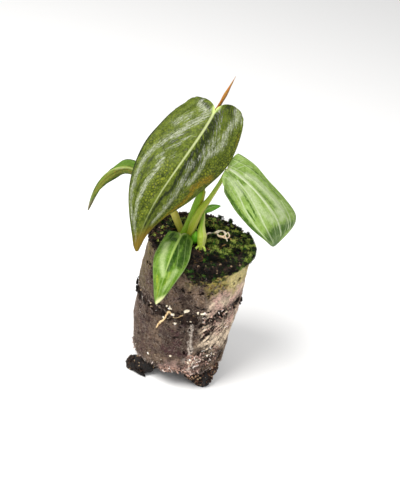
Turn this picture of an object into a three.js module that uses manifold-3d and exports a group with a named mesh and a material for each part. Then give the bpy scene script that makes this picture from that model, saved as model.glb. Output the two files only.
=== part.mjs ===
// Young Philodendron melanochrysum in a paper-sleeved plug of growing medium.
// Millimetres, +Z up. The origin is on the surface the plug stands on, below the middle of its rim.
// The front of the plant, where the smallest leaf hangs over the rim, faces -Y, and +X is to its right.
import * as THREE from "three";
import { mergeVertices } from "three/addons/utils/BufferGeometryUtils.js";
import Module from "manifold-3d";

const wasm = await Module();
wasm.setup();

// Plug and paper sleeve
const PLUG_HEIGHT = 78;
const RIM_RADIUS = 26;
const FOOT_RADIUS = 23.2;
const PAPER = 0.8;
const GAP = 0.3;
const SIDES = 40;
const SLEEVE_ROWS = 10;
const FOOT_HEIGHT_FRONT = 12.8;
const FOOT_HEIGHT_BACK = 7;
const FOOT_TEAR = 1.3;
const RIM_TEAR = 0.7;
const CREASE = 0.45;
const BELLY = 1.7;
const BELLY_LEFT = 0.8;
const SEAM_ANGLE = -72;
const SEAM_WIDTH = 7;
const SEAM_LAP = 0.7;
const FILL_CLEARANCE = 0.4;

// Band of worn-through holes in the paper
const HOLE_COUNT = 10;
const HOLE_BAND_HEIGHT = 48;
const HOLE_BAND_TILT = 3.5;
const HOLE_WIDTH = 5.4;
const HOLE_TALL = 3.4;
const HOLE_SIDES = 9;
const HOLE_SIZE_SPREAD = 0.35;
const HOLE_PLACE_SPREAD = 0.25;
const HOLE_RAGGEDNESS = 0.25;
const HOLE_HEIGHT_SPREAD = 2;
const CUT_MARGIN = 4;

// Growing medium
const SOIL_LEVEL = 76.6;
const SOIL_RELIEF = 1.5;
const REST_CENTRE = new THREE.Vector2(0, 6);
const REST_RADIUS = 12;
const REST_RAGGEDNESS = 0.08;
const UNDERSIDE_BULGE = 1.4;
const UNDERSIDE_MIDDLE = 0.55;
const TOP_EDGE_DROP = 0.8;
const TOP_RINGS = [0.93, 0.82, 0.7, 0.58, 0.45, 0.32, 0.2, 0.1];
const CLOD_ROUGHNESS = 0.3;
const CLODS = [
  { centre: [-20.2, -14, 3.4], size: [4.6, 3.4, 4.6] },
  { centre: [-15.8, -14.6, 4.8], size: [5.2, 4.2, 6.2] },
  { centre: [-10.6, -12.6, 7], size: [4.2, 3.8, 4.6] },
  { centre: [10.4, -15, 8], size: [4.4, 4.2, 5] },
  { centre: [15.4, -13.4, 5], size: [5.4, 4.8, 6.6] },
  { centre: [18.2, -10, 9], size: [4.2, 4.6, 5.6] },
];

// Moss: low cushions on the medium, and a mat that hangs over the front of the rim
const CUSHIONS = [
  { name: "moss_cushion_right", centre: [11.8, 2.4], radius: 8.6, height: 3, seed: 1 },
  { name: "moss_cushion_back", centre: [3.4, 15.2], radius: 6.2, height: 3.4, seed: 2 },
  { name: "moss_cushion_front", centre: [9.6, -12.4], radius: 5.4, height: 2, seed: 4 },
  { name: "moss_cushion_left", centre: [-11.3, 10.4], radius: 6, height: 2.2, seed: 5 },
];
const CUSHION_SIDES = 22;
const CUSHION_ROWS = [1, 0.82, 0.58, 0.3];
const CUSHION_EDGE = 0.7;
const CUSHION_LUMPS = 0.35;
const CUSHION_RAGGEDNESS = 0.12;
const LEVEL_BORDER = 3.6;
const LEVEL_FADE = 3;
const MAT_ANGLES = [-87, 34];
const MAT_THICKNESS = 1.4;
const MAT_DROP = 3.8;
const MAT_CLEARANCE = 0.5;
const MAT_REACH = 4;
const MAT_LUMPS = 0.35;
const MAT_GRID = [6, 22];

// Leaf blades. midrib: handles of a cubic curve from the joint to the tip. side: towards the right
// margin seen from above with the tip down. Pairs are left half, right half. fold and rim: slope of
// the blade at the midrib and at the margin in degrees. Shares of the length and of the half width.
const BLADE = 0.8;
const LOBE_DROOP = 0.02;
const RIB_EXTRA = 0.5;
const RIB_WIDTH = 1.3;
const LEAVES = {
  large_leaf_blade: {
    midrib: [[-7, -2.1, 147.9], [-12, -15.3, 132], [-30.5, -30.1, 107.7], [-28.3, -31.9, 84.1]],
    side: [0.92, 0.2, 0.34], twist: -15, width: [21, 21.3], lobe: [4.7, 7.5],
    fold: [10, 22], rim: [38, 45], base: 0.72, widest: 0.24, power: 2.7, taper: 2.2, blunt: 0.09,
    veins: 5, sweep: 0.62, quilt: 0.45, grid: [26, 12],
  },
  right_leaf_blade: {
    midrib: [[4.9, -4.1, 122.4], [14.8, -0.9, 117.3], [33.7, -12.5, 111.1], [36.8, -3.4, 88.1]],
    side: [0.22, -0.4, -0.89], twist: 43, width: [12.2, 14.5], lobe: [1, 1.6],
    fold: [6, 6], rim: [60, 60], base: 0.71, widest: 0.57, power: 2.25, taper: 0.68, blunt: 0.04,
    veins: 4, sweep: 0.6, quilt: 0.25, grid: [20, 10],
  },
  front_leaf_blade: {
    midrib: [[-10.2, -8.2, 83.6], [-12.9, -25, 81.8], [-12.7, -38.4, 85.2], [-14.6, -37.1, 60.6]],
    side: [0.98, 0.17, -0.13], twist: 26, width: [8.6, 8.9], lobe: [1.2, 3.7],
    fold: [10, 10], rim: [30, 30], base: 0.79, widest: 0.36, power: 1.64, taper: 0.75, blunt: 0.04,
    veins: 4, sweep: 0.5, quilt: 0.2, grid: [16, 8],
  },
  left_leaf_blade: {
    midrib: [[-35.3, 13, 98.5], [-43, 12.2, 107.5], [-59.5, 10.9, 103], [-59.8, 8.5, 75.7]],
    side: [-0.44, -0.77, -0.47], twist: -15, width: [8.3, 5.8], lobe: [1.5, 1],
    fold: [20, 40], rim: [50, 125], base: 0.62, widest: 0.35, power: 1.56, taper: 0.75, blunt: 0.05,
    veins: 4, sweep: 0.5, quilt: 0.15, grid: [16, 8],
  },
  back_leaf_blade: {
    midrib: [[-2, 2.9, 93], [0, 4.2, 94.8], [2.6, 6.6, 95.6], [5.6, 9.2, 94.4]],
    side: [-0.62, 0.71, 0.34], twist: 0, width: [2.1, 2], lobe: [0.5, 0.5],
    fold: [10, 10], rim: [30, 30], base: 0.6, widest: 0.4, power: 1.7, taper: 0.9, blunt: 0.1,
    veins: 2, sweep: 0.5, quilt: 0, grid: [8, 4],
  },
};

// Stalks: the points of each path, with the radius at each point
const STALKS = {
  main_stem: {
    path: [[-8.6, -0.8, 70], [-8.4, -0.9, 77.5], [-7.4, -0.8, 84], [-6, -0.4, 94], [-4.9, 0.3, 105]],
    radii: [2.6, 3.3, 2.7, 2.6, 1.9], steps: 12,
  },
  large_leaf_petiole: {
    path: [[-5.2, 1.2, 106], [-5.4, 3, 118], [-6, 3.6, 132], [-7, 1.2, 143.5], [-7.2, -1.4, 147.4]],
    radii: [1.6, 1.5, 1.4, 1.3, 1.2], steps: 14,
  },
  new_leaf_spear: {
    path: [[-6.6, 2, 88], [-5.6, 3.1, 101], [-7.2, 6, 119], [-9.2, 7, 135], [-6.6, 5, 148.6],
      [-1.9, 2.6, 163.3]],
    radii: [0.5, 1.3, 1.4, 1.3, 1.1, 0.35], steps: 18,
  },
  right_leaf_petiole: {
    path: [[-6.2, -2.6, 79], [-4.8, -3, 88], [-2.8, -2.6, 96], [-0.2, -2, 102.5], [2.8, -2.6, 113],
      [4.6, -3.8, 121.3]],
    radii: [1.8, 2.3, 2.2, 1.2, 1, 0.9], steps: 15,
  },
  front_leaf_petiole: {
    path: [[-9, -4.2, 80.4], [-9.8, -6, 81.9], [-10.3, -8.2, 82.2]],
    radii: [1.3, 1.2, 1], steps: 5,
  },
  left_leaf_petiole: {
    path: [[-10.4, 0.8, 79.6], [-13, 2.6, 83], [-18, 6, 89], [-26, 10, 96], [-34.6, 13, 97.7]],
    radii: [1.9, 2.5, 2, 1.3, 0.9], steps: 14,
  },
  side_shoot: {
    path: [[0.6, -5.6, 71], [0.4, -5.4, 78.5], [-1.1, -2.6, 86], [-1.6, 0.6, 90.5], [-1.9, 2.5, 92.4]],
    radii: [1.3, 1.4, 2.6, 1.3, 0.7], steps: 12,
  },
  bud_leaf: {
    path: [[-3.4, -4.9, 78.4], [-3.3, -4.9, 80.5], [-3.4, -4.7, 83], [-3.6, -4.3, 85]],
    radii: [0.6, 1.9, 1.8, 0.4], steps: 8,
  },
};
const STALK_SIDES = 8;
const ROOT_NUBS = [
  [[0.2, -5.4, 78.6], [-1.4, -7.2, 78], [-2.2, -8.2, 76.9]],
  [[0.8, -5.6, 78.6], [2.2, -7, 78.2], [2.9, -7.9, 77.1]],
];
const ROOT_NUB_RADIUS = 0.6;

// Thin roots: one looped over the moss, one run in and out of the worn paper
const SURFACE_ROOT = [[2.6, 0.6], [4.4, 2.6], [7.4, 3.4], [10, 2.2], [9.6, -0.4], [12.8, -1.4]];
const SURFACE_ROOT_RADIUS = 0.55;
const SURFACE_ROOT_LIFT = 0.75;
const SLEEVE_ROOT = [
  [-118, 37], [-115, 41], [-110.5, 44.5], [-107.5, 49.5], [-101, 46.5], [-94, 48.5], [-88, 51.5],
];
const SLEEVE_ROOT_RADIUS = 0.6;
const SLEEVE_ROOT_LIFT = 0.5;
const ROOT_SIDES = 6;

const lerp = THREE.MathUtils.lerp;
const radians = THREE.MathUtils.degToRad;

// Fraction between -1 and 1 that three whole numbers always give, spread evenly
function scatter(i, j, k) {
  let h = Math.imul(i, 374761393) + Math.imul(j, 668265263) + Math.imul(k, 1274126177);
  h = Math.imul(h ^ (h >>> 13), 1103515245);
  return ((h ^ (h >>> 16)) >>> 0) / 2147483648 - 1;
}

// Smooth noise between -1 and 1 at a point
function noise(x, y, z) {
  const [i, j, k] = [Math.floor(x), Math.floor(y), Math.floor(z)];
  const ease = (t) => t * t * (3 - 2 * t);
  const [fx, fy, fz] = [ease(x - i), ease(y - j), ease(z - k)];
  const row = (b, c) => lerp(scatter(i, j + b, k + c), scatter(i + 1, j + b, k + c), fx);
  return lerp(lerp(row(0, 0), row(1, 0), fy), lerp(row(0, 1), row(1, 1), fy), fz);
}

// Geometry to solid: shared corners merged, collapsed triangles dropped, faces pointing out
function solid(geometry) {
  geometry.deleteAttribute("normal");
  geometry.deleteAttribute("uv");
  const merged = mergeVertices(geometry, 1e-4);
  const places = merged.attributes.position;
  const corners = merged.index.array;
  const [a, b, c] = [new THREE.Vector3(), new THREE.Vector3(), new THREE.Vector3()];
  const kept = [];
  let volume = 0;
  for (let i = 0; i < corners.length; i += 3) {
    const [p, q, r] = [corners[i], corners[i + 1], corners[i + 2]];
    if (p === q || q === r || r === p) continue;
    kept.push(p, q, r);
    a.fromBufferAttribute(places, p);
    volume += a.dot(b.fromBufferAttribute(places, q).cross(c.fromBufferAttribute(places, r)));
  }
  if (volume < 0) kept.reverse();
  const vertProperties = new Float32Array(places.array);
  return new wasm.Manifold(new wasm.Mesh({ numProp: 3, vertProperties, triVerts: new Uint32Array(kept) }));
}

// Largest body of a solid, without loose scraps
function whole(body) {
  return body.decompose().reduce((best, part) => (part.volume() > best.volume() ? part : best));
}

// Body whose points are set by a rule: row along the profile, turn round it
function turned(rows, sides, pointAt) {
  const profile = Array.from({ length: rows }, (_, row) => new THREE.Vector2(1, row));
  const geometry = new THREE.LatheGeometry(profile, sides);
  const places = geometry.attributes.position;
  for (let i = 0; i < places.count; i++) {
    const turn = ((Math.floor(i / rows) % sides) / sides) * 2 * Math.PI;
    pointAt(i % rows, turn).toArray(places.array, 3 * i);
  }
  return solid(geometry);
}

// Closed sheet: a plane's grid for each face, split alike, and a strip round the edge.
// pointAt gives a point for u along 0 to 1, v across -1 to 1 and face 1 above or -1 below.
function sheet(along, across, pointAt) {
  const grid = new THREE.PlaneGeometry(1, 1, across, along);
  const count = grid.attributes.position.count;
  const places = new Float32Array(count * 6);
  for (let i = 0; i < count; i++) {
    const u = 0.5 - grid.attributes.position.getY(i);
    const v = grid.attributes.position.getX(i) * 2;
    pointAt(u, v, 1).toArray(places, i * 3);
    pointAt(u, v, -1).toArray(places, (count + i) * 3);
  }
  const corners = [];
  for (let i = 0; i < grid.index.count; i += 3) {
    const [a, b, c] = grid.index.array.slice(i, i + 3);
    corners.push(a, b, c, count + a, count + c, count + b);
  }
  const width = across + 1;
  const rim = [];
  for (let i = 0; i < across; i++) rim.push(i);
  for (let j = 0; j < along; j++) rim.push(j * width + across);
  for (let i = across; i > 0; i--) rim.push(along * width + i);
  for (let j = along; j > 0; j--) rim.push(j * width);
  rim.forEach((a, i) => {
    const b = rim[(i + 1) % rim.length];
    corners.push(a, b, count + b, a, count + b, count + a);
  });
  const geometry = new THREE.BufferGeometry();
  geometry.setAttribute("position", new THREE.BufferAttribute(places, 3));
  geometry.setIndex(corners);
  return solid(geometry);
}

// Height of the worn upper edge and of the torn lower edge of the paper
function rimHeight(turn) {
  return PLUG_HEIGHT + RIM_TEAR * noise(4 * Math.cos(turn), 4 * Math.sin(turn), 7);
}
function footHeight(turn) {
  const middle = (FOOT_HEIGHT_FRONT + FOOT_HEIGHT_BACK) / 2;
  const lean = (FOOT_HEIGHT_FRONT - FOOT_HEIGHT_BACK) / 2;
  return middle - lean * Math.sin(turn) + FOOT_TEAR * noise(5 * Math.cos(turn), 5 * Math.sin(turn), 1);
}

// Radius of the outside of the paper, with a belly and soft creases, and the lap along its seam
function paperRadius(turn, z) {
  const crease = noise(3.2 * Math.cos(turn), 3.2 * Math.sin(turn), z / 14);
  const belly = (BELLY - BELLY_LEFT * Math.cos(turn)) * Math.sin((Math.PI * z) / PLUG_HEIGHT);
  return lerp(FOOT_RADIUS, RIM_RADIUS, z / PLUG_HEIGHT) + CREASE * crease + belly;
}
function seamLap(turn) {
  const past = turn - radians(SEAM_ANGLE) + Math.PI;
  const away = THREE.MathUtils.euclideanModulo(past, 2 * Math.PI) - Math.PI;
  return Math.abs(away) < radians(SEAM_WIDTH) / 2 ? SEAM_LAP : 0;
}
function onPlug(turn, radius, z) {
  return new THREE.Vector3(radius * Math.cos(turn), radius * Math.sin(turn), z);
}

// Paper wall without its holes: up the outside, down the inside. grow thickens it on every side.
function paperWall(grow) {
  const outside = SLEEVE_ROWS + 1;
  return turned(2 * outside + 1, SIDES, (row, turn) => {
    const step = row % (2 * outside);
    const isOutside = step < outside;
    const share = (isOutside ? step : 2 * outside - 1 - step) / SLEEVE_ROWS;
    const height = lerp(footHeight(turn), rimHeight(turn), share);
    const skin = isOutside ? seamLap(turn) + grow : -PAPER - grow;
    const end = share === 0 ? -grow : share === 1 ? grow : 0;
    return onPlug(turn, paperRadius(turn, height) + skin, height + end);
  });
}

// Ragged plug that cuts one hole through the paper
function holeCutter(number) {
  const place = number + 0.5 + HOLE_PLACE_SPREAD * scatter(number, 1, 0);
  const turn = radians(SEAM_ANGLE + (360 / HOLE_COUNT) * place);
  const level = HOLE_BAND_HEIGHT + HOLE_BAND_TILT * Math.cos(turn);
  const height = level + HOLE_HEIGHT_SPREAD * scatter(number, 2, 0);
  const wide = HOLE_WIDTH * (1 + HOLE_SIZE_SPREAD * scatter(number, 3, 0));
  const tall = HOLE_TALL * (1 + HOLE_SIZE_SPREAD * scatter(number, 4, 0));
  const spoke = new THREE.Vector3(Math.cos(turn), Math.sin(turn), 0);
  const across = new THREE.Vector3(-Math.sin(turn), Math.cos(turn), 0);
  const [near, far] = [FOOT_RADIUS - CUT_MARGIN, RIM_RADIUS + CUT_MARGIN];
  const depths = [near, near, far, far];
  return turned(4, HOLE_SIDES, (row, angle) => {
    const isWall = row === 1 || row === 2;
    const corner = Math.round((angle * HOLE_SIDES) / (2 * Math.PI));
    const ragged = isWall ? 1 + HOLE_RAGGEDNESS * scatter(number, corner, 5) : 0;
    return spoke.clone().multiplyScalar(depths[row])
      .addScaledVector(across, wide * ragged * Math.cos(angle))
      .add(new THREE.Vector3(0, 0, height + tall * ragged * Math.sin(angle)));
  });
}

function paperSleeve() {
  const holes = Array.from({ length: HOLE_COUNT }, (_, number) => holeCutter(number));
  return whole(holes.reduce((wall, hole) => wall.subtract(hole), paperWall(0)));
}

// Top of the medium: crumbly, but level under and round each moss cushion
function soilTop(x, y) {
  const bare = CUSHIONS.reduce((least, cushion) => {
    const edge = cushion.radius * (1 + CUSHION_RAGGEDNESS);
    const away = Math.hypot(x - cushion.centre[0], y - cushion.centre[1]) - edge;
    return Math.min(least, THREE.MathUtils.clamp((away - LEVEL_BORDER) / LEVEL_FADE, 0, 1));
  }, 1);
  const crumbs = 0.7 * noise(x / 4.5, y / 4.5, 3) + 0.4 * noise(x / 2.2, y / 2.2, 9);
  return SOIL_LEVEL + SOIL_RELIEF * bare * crumbs;
}

// Medium: flat spot underneath, cone up to the torn foot of the paper, wall inside it, crumbly top
function plugOfMedium() {
  const wallRows = SLEEVE_ROWS + 1;
  const rows = 4 + wallRows + TOP_RINGS.length + 1;
  const wallPoint = (turn, share) => {
    const height = lerp(footHeight(turn), rimHeight(turn), share);
    const inside = paperRadius(turn, height) - PAPER - FILL_CLEARANCE;
    return onPlug(turn, inside, share === 1 ? height - TOP_EDGE_DROP : height);
  };
  const restPoint = (turn) => {
    const ragged = 1 + REST_RAGGEDNESS * noise(3 * Math.cos(turn), 3 * Math.sin(turn), 5);
    const edge = onPlug(turn, REST_RADIUS * ragged, 0);
    return edge.add(new THREE.Vector3(REST_CENTRE.x, REST_CENTRE.y, 0));
  };
  return turned(rows, SIDES, (row, turn) => {
    if (row === 0) return new THREE.Vector3(REST_CENTRE.x, REST_CENTRE.y, 0);
    if (row === rows - 1) return new THREE.Vector3(0, 0, soilTop(0, 0));
    if (row === 1) return restPoint(turn);
    if (row === 2) {
      const bulge = UNDERSIDE_BULGE * noise(6 * Math.cos(turn), 6 * Math.sin(turn), 2);
      const between = restPoint(turn).lerp(wallPoint(turn, 0), UNDERSIDE_MIDDLE);
      return between.add(onPlug(turn, bulge, bulge / 2));
    }
    if (row === 3) {
      const edge = wallPoint(turn, 0);
      return new THREE.Vector3(edge.x * 0.95, edge.y * 0.95, edge.z - 1.1);
    }
    const wallRow = row - 4;
    if (wallRow < wallRows) return wallPoint(turn, wallRow / SLEEVE_ROWS);
    const edge = wallPoint(turn, 1).multiplyScalar(TOP_RINGS[wallRow - wallRows]);
    return new THREE.Vector3(edge.x, edge.y, soilTop(edge.x, edge.y));
  });
}

// Lump of medium stuck to the foot of the plug, which stands on it
function clod({ centre, size }) {
  const lump = new THREE.IcosahedronGeometry(1, 2);
  const places = lump.attributes.position;
  for (let i = 0; i < places.count; i++) {
    const [x, y, z] = [places.getX(i), places.getY(i), places.getZ(i)];
    const rough = 1 + CLOD_ROUGHNESS * noise(2.2 * x + centre[0], 2.2 * y, 2.2 * z);
    places.setXYZ(i, x * size[0] * rough, y * size[1] * rough, z * size[2] * rough);
  }
  lump.translate(...centre);
  return solid(lump);
}

function growingMedium() {
  const body = CLODS.reduce((plug, lump) => plug.add(clod(lump)), plugOfMedium());
  const above = new THREE.BoxGeometry(200, 200, 200);
  above.translate(0, 0, 100);
  return whole(body.intersect(solid(above)));
}

// Moss cushion: flat below, domed and lumpy above
function cushionEdge({ radius, seed }, turn) {
  const ragged = noise(2 * Math.cos(turn) + seed, 2 * Math.sin(turn), seed);
  return radius * (1 + CUSHION_RAGGEDNESS * ragged);
}
function cushionTop(cushion, share, x, y) {
  const dome = cushion.height * Math.sqrt(1 - share * share);
  const lumps = CUSHION_LUMPS * noise(x / 1.7, y / 1.7, cushion.seed);
  return SOIL_LEVEL + GAP + CUSHION_EDGE + dome + lumps;
}
function mossCushion(cushion) {
  const rows = CUSHION_ROWS.length + 3;
  const [cx, cy] = cushion.centre;
  return turned(rows, CUSHION_SIDES, (row, turn) => {
    if (row === 0) return new THREE.Vector3(cx, cy, SOIL_LEVEL + GAP);
    if (row === rows - 1) return new THREE.Vector3(cx, cy, cushionTop(cushion, 0, cx, cy));
    const share = CUSHION_ROWS[Math.max(row - 2, 0)];
    const p = onPlug(turn, share * cushionEdge(cushion, turn), 0).add(new THREE.Vector3(cx, cy, 0));
    p.z = row === 1 ? SOIL_LEVEL + GAP : cushionTop(cushion, share, p.x, p.y);
    return p;
  });
}

// Mat of moss from the top of the medium over the front of the rim and down the paper
function mossMat() {
  const inner = RIM_RADIUS - MAT_REACH;
  return sheet(MAT_GRID[0], MAT_GRID[1], (u, v, face) => {
    const turn = radians(lerp(MAT_ANGLES[0], MAT_ANGLES[1], (v + 1) / 2));
    const ends = Math.sqrt(Math.max(1 - Math.abs(v) ** 3, 0));
    const rim = rimHeight(turn);
    const outer = paperRadius(turn, rim) + seamLap(turn) + MAT_CLEARANCE;
    const ragged = 0.75 + 0.45 * noise(9 * Math.cos(turn), 9 * Math.sin(turn), 4);
    const lump = MAT_LUMPS * noise(u * 7, v * 9, 6);
    const thickness = (MAT_THICKNESS + lump) * (0.4 + 0.6 * ends) * (0.8 - 0.2 * v);
    const swell = face > 0 ? thickness : 0;
    if (u <= 0.5) {
      const start = lerp(outer, inner, 0.35 + 0.65 * ends);
      const radius = lerp(start, outer + (u === 0.5 ? swell : 0), u / 0.5);
      return onPlug(turn, radius, Math.max(rim, SOIL_LEVEL + SOIL_RELIEF) + MAT_CLEARANCE + swell);
    }
    const down = (u - 0.5) / 0.5;
    const hang = MAT_DROP * ragged * (0.3 + 0.7 * ends) * (0.6 - 0.4 * v) * down;
    return onPlug(turn, outer + swell * (1 - 0.35 * down), rim + MAT_CLEARANCE - hang);
  });
}

// Half width of a blade as a share of its greatest, from the joint (0) to the tip (1)
function bladeProfile(leaf, u) {
  const end = leaf.blunt * Math.sqrt(THREE.MathUtils.clamp((1.004 - u) / 0.05, 0, 1));
  if (u < leaf.widest) {
    const rise = leaf.base + (1 - leaf.base) * Math.sin((Math.PI / 2) * Math.max(u / leaf.widest, 0));
    return rise * (1 - leaf.blunt) + end;
  }
  const x = Math.min((u - leaf.widest) / (1 - leaf.widest), 1);
  return (1 - x ** leaf.power) ** leaf.taper * (1 - leaf.blunt) + end;
}

// Point on one face of a blade. u: joint 0 to tip 1. v: left margin -1 to right margin 1.
function bladePoint(leaf, u, v, face, grow) {
  const half = v > 0 ? 1 : 0;
  const out = Math.abs(v);
  const lobe = leaf.lobe[half] * Math.sqrt(Math.max(1 - ((out - 0.5) / 0.5) ** 2, 0)) * (1 - u) ** 3;
  const s = u * leaf.length - lobe;
  const t = Math.max(s / leaf.length, 0);
  const back = Math.min(s, 0);
  const along = leaf.curve.getTangent(t);
  const across = leaf.sideways.clone().addScaledVector(along, -leaf.sideways.dot(along)).normalize();
  across.applyAxisAngle(along, radians(leaf.twist) * t);
  const above = new THREE.Vector3().crossVectors(along, across);
  const reach = out * leaf.width[half] * bladeProfile(leaf, u);
  const fold = radians(leaf.fold[half]);
  const bend = radians(leaf.rim[half] - leaf.fold[half]) / leaf.width[half];
  const slope = fold + bend * reach;
  const wide = (Math.sin(slope) - Math.sin(fold)) / bend || reach * Math.cos(fold);
  const drop = (Math.cos(slope) - Math.cos(fold)) / bend || -reach * Math.sin(fold);
  const wave = Math.abs(Math.sin(Math.PI * leaf.veins * (u - leaf.sweep * out ** 1.3))) - 0.6;
  const puff = leaf.quilt * wave * 4 * out * (1 - out) * Math.min((1 - u) * 4, 1);
  const rib = RIB_EXTRA * Math.exp(-((reach / RIB_WIDTH) ** 2)) * (1 - 0.7 * u);
  const sign = v > 0 ? 1 : -1;
  const normal = above.clone().multiplyScalar(Math.cos(slope));
  normal.addScaledVector(across, sign * Math.sin(slope));
  const lift = puff + (face > 0 ? BLADE / 2 + grow : -BLADE / 2 - rib - grow);
  return leaf.curve.getPoint(t)
    .addScaledVector(along, back)
    .addScaledVector(across, sign * wide)
    .addScaledVector(above, drop - LOBE_DROOP * back * back)
    .addScaledVector(normal, lift);
}

function blade(leaf, grow = 0) {
  leaf.curve = new THREE.CubicBezierCurve3(...leaf.midrib.map((p) => new THREE.Vector3(...p)));
  leaf.length = leaf.curve.getLength();
  leaf.sideways = new THREE.Vector3(...leaf.side).normalize();
  return sheet(leaf.grid[0], leaf.grid[1], (u, v, face) => bladePoint(leaf, u, v, face, grow));
}

// Round stalk along a path whose radius changes from point to point
function stalk({ path, radii, steps }, grow = 0, sides = STALK_SIDES) {
  const curve = new THREE.CatmullRomCurve3(path.map((p) => new THREE.Vector3(...p)));
  const frames = curve.computeFrenetFrames(steps);
  const rows = steps + 3;
  return turned(rows, sides, (row, turn) => {
    const step = THREE.MathUtils.clamp(row - 1, 0, steps);
    const share = step / steps;
    const centre = curve.getPointAt(share);
    const tangent = frames.tangents[step];
    if (step === 0) centre.addScaledVector(tangent, -grow);
    if (step === steps) centre.addScaledVector(tangent, grow);
    if (row === 0 || row === rows - 1) return centre;
    const place = share * (radii.length - 1);
    const k = Math.min(Math.floor(place), radii.length - 2);
    const radius = lerp(radii[k], radii[k + 1], place - k) + grow;
    return centre
      .addScaledVector(frames.normals[step], radius * Math.cos(turn))
      .addScaledVector(frames.binormals[step], radius * Math.sin(turn));
  });
}

// Root loop that lies over the right-hand moss cushion
function surfaceRoot() {
  const cushion = CUSHIONS[0];
  const path = SURFACE_ROOT.map(([x, y]) => {
    const away = Math.hypot(x - cushion.centre[0], y - cushion.centre[1]);
    const share = Math.min(away / cushion.radius, 1);
    return [x, y, cushionTop(cushion, share, x, y) + SURFACE_ROOT_RADIUS + SURFACE_ROOT_LIFT];
  });
  return stalk({ path, radii: path.map(() => SURFACE_ROOT_RADIUS), steps: 20 }, 0, ROOT_SIDES);
}

// Root that lies on the worn paper above its band of holes
function sleeveRoot() {
  const path = SLEEVE_ROOT.map(([angle, z]) => {
    const turn = radians(angle);
    const away = paperRadius(turn, z) + SLEEVE_ROOT_RADIUS + SLEEVE_ROOT_LIFT;
    return onPlug(turn, away, z).toArray();
  });
  const radii = path.map((_, i) => SLEEVE_ROOT_RADIUS * (i % 2 ? 1.25 : 0.8));
  return stalk({ path, radii, steps: 22 }, 0, ROOT_SIDES);
}

// Side shoot with the two white root nubs at its foot
function sideShoot(grow) {
  const radii = ROOT_NUBS[0].map(() => ROOT_NUB_RADIUS);
  const nubs = ROOT_NUBS.map((path) => stalk({ path, radii, steps: 5 }, grow, ROOT_SIDES));
  return nubs.reduce((body, nub) => body.add(nub), stalk(STALKS.side_shoot, grow));
}

// The pieces, each cut clear of those made before it
const made = [];
const plant = new THREE.Group();

function finish(colour, roughness) {
  return new THREE.MeshStandardMaterial({ color: colour, roughness, metalness: 0 });
}
const FINISH = {
  paper: finish("#6f6258", 0.9),
  soil: finish("#2b211b", 0.95),
  moss: finish("#3f5a1c", 0.95),
  darkLeaf: finish("#4d5b2a", 0.5),
  lightLeaf: finish("#86a456", 0.45),
  stem: finish("#8fab4c", 0.45),
  spear: finish("#b5652c", 0.5),
  root: finish("#e3cfae", 0.7),
};

// Adds a piece. shape(0) is the piece itself and shape(GAP) is the room that later pieces leave it.
function add(name, material, shape, clearOf = []) {
  const rooms = made.filter((piece) => clearOf.includes(piece.name)).map((piece) => piece.room);
  const body = whole(rooms.reduce((rest, room) => rest.subtract(room), shape(0)));
  made.push({ name, room: shape(GAP) });
  const mesh = body.getMesh();
  const geometry = new THREE.BufferGeometry();
  geometry.setAttribute("position", new THREE.BufferAttribute(mesh.vertProperties, 3));
  geometry.setIndex(new THREE.BufferAttribute(mesh.triVerts, 1));
  const node = new THREE.Mesh(geometry, material);
  node.name = name;
  plant.add(node);
}

const stems = ["main_stem", "large_leaf_petiole", "new_leaf_spear", "right_leaf_petiole",
  "front_leaf_petiole", "left_leaf_petiole"];
const leafFinish = { large_leaf_blade: FINISH.darkLeaf, left_leaf_blade: FINISH.darkLeaf };
const leafStalk = {
  large_leaf_blade: "large_leaf_petiole", right_leaf_blade: "right_leaf_petiole",
  front_leaf_blade: "front_leaf_petiole", left_leaf_blade: "left_leaf_petiole",
};

Object.entries(LEAVES).forEach(([name, leaf]) => {
  add(name, leafFinish[name] ?? FINISH.lightLeaf, (grow) => blade(leaf, grow));
});
stems.forEach((name, order) => {
  const leaf = Object.keys(leafStalk).find((key) => leafStalk[key] === name);
  const material = name === "new_leaf_spear" ? FINISH.spear : FINISH.stem;
  add(name, material, (grow) => stalk(STALKS[name], grow), [leaf, ...stems.slice(0, order)]);
});
add("side_shoot", FINISH.stem, (grow) => sideShoot(grow), ["back_leaf_blade", ...stems]);
add("bud_leaf", FINISH.lightLeaf, (grow) => stalk(STALKS.bud_leaf, grow), ["side_shoot", ...stems]);
add("paper_sleeve", FINISH.paper, (grow) => (grow ? paperWall(grow) : paperSleeve()));
add("growing_medium", FINISH.soil, () => growingMedium(), ["paper_sleeve", "main_stem",
  "side_shoot", "left_leaf_petiole", "bud_leaf"]);
CUSHIONS.forEach((cushion) => {
  add(cushion.name, FINISH.moss, () => mossCushion(cushion), ["side_shoot", "left_leaf_petiole"]);
});
add("moss_mat_front", FINISH.moss, () => mossMat(), ["paper_sleeve"]);
add("surface_root", FINISH.root, () => surfaceRoot());
add("sleeve_root", FINISH.root, () => sleeveRoot(), ["paper_sleeve"]);

export default plant;
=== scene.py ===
"""Young philodendron in a paper-sleeved plug: its looks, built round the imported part.

Shapes are worked out in millimetres in the part's frame and stored in metres. +Z is up. The front of
the plant, where a small leaf hangs over the rim, faces -Y.
"""
import math
import random

import bmesh
import bpy
from mathutils import Matrix, Vector, noise


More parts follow.
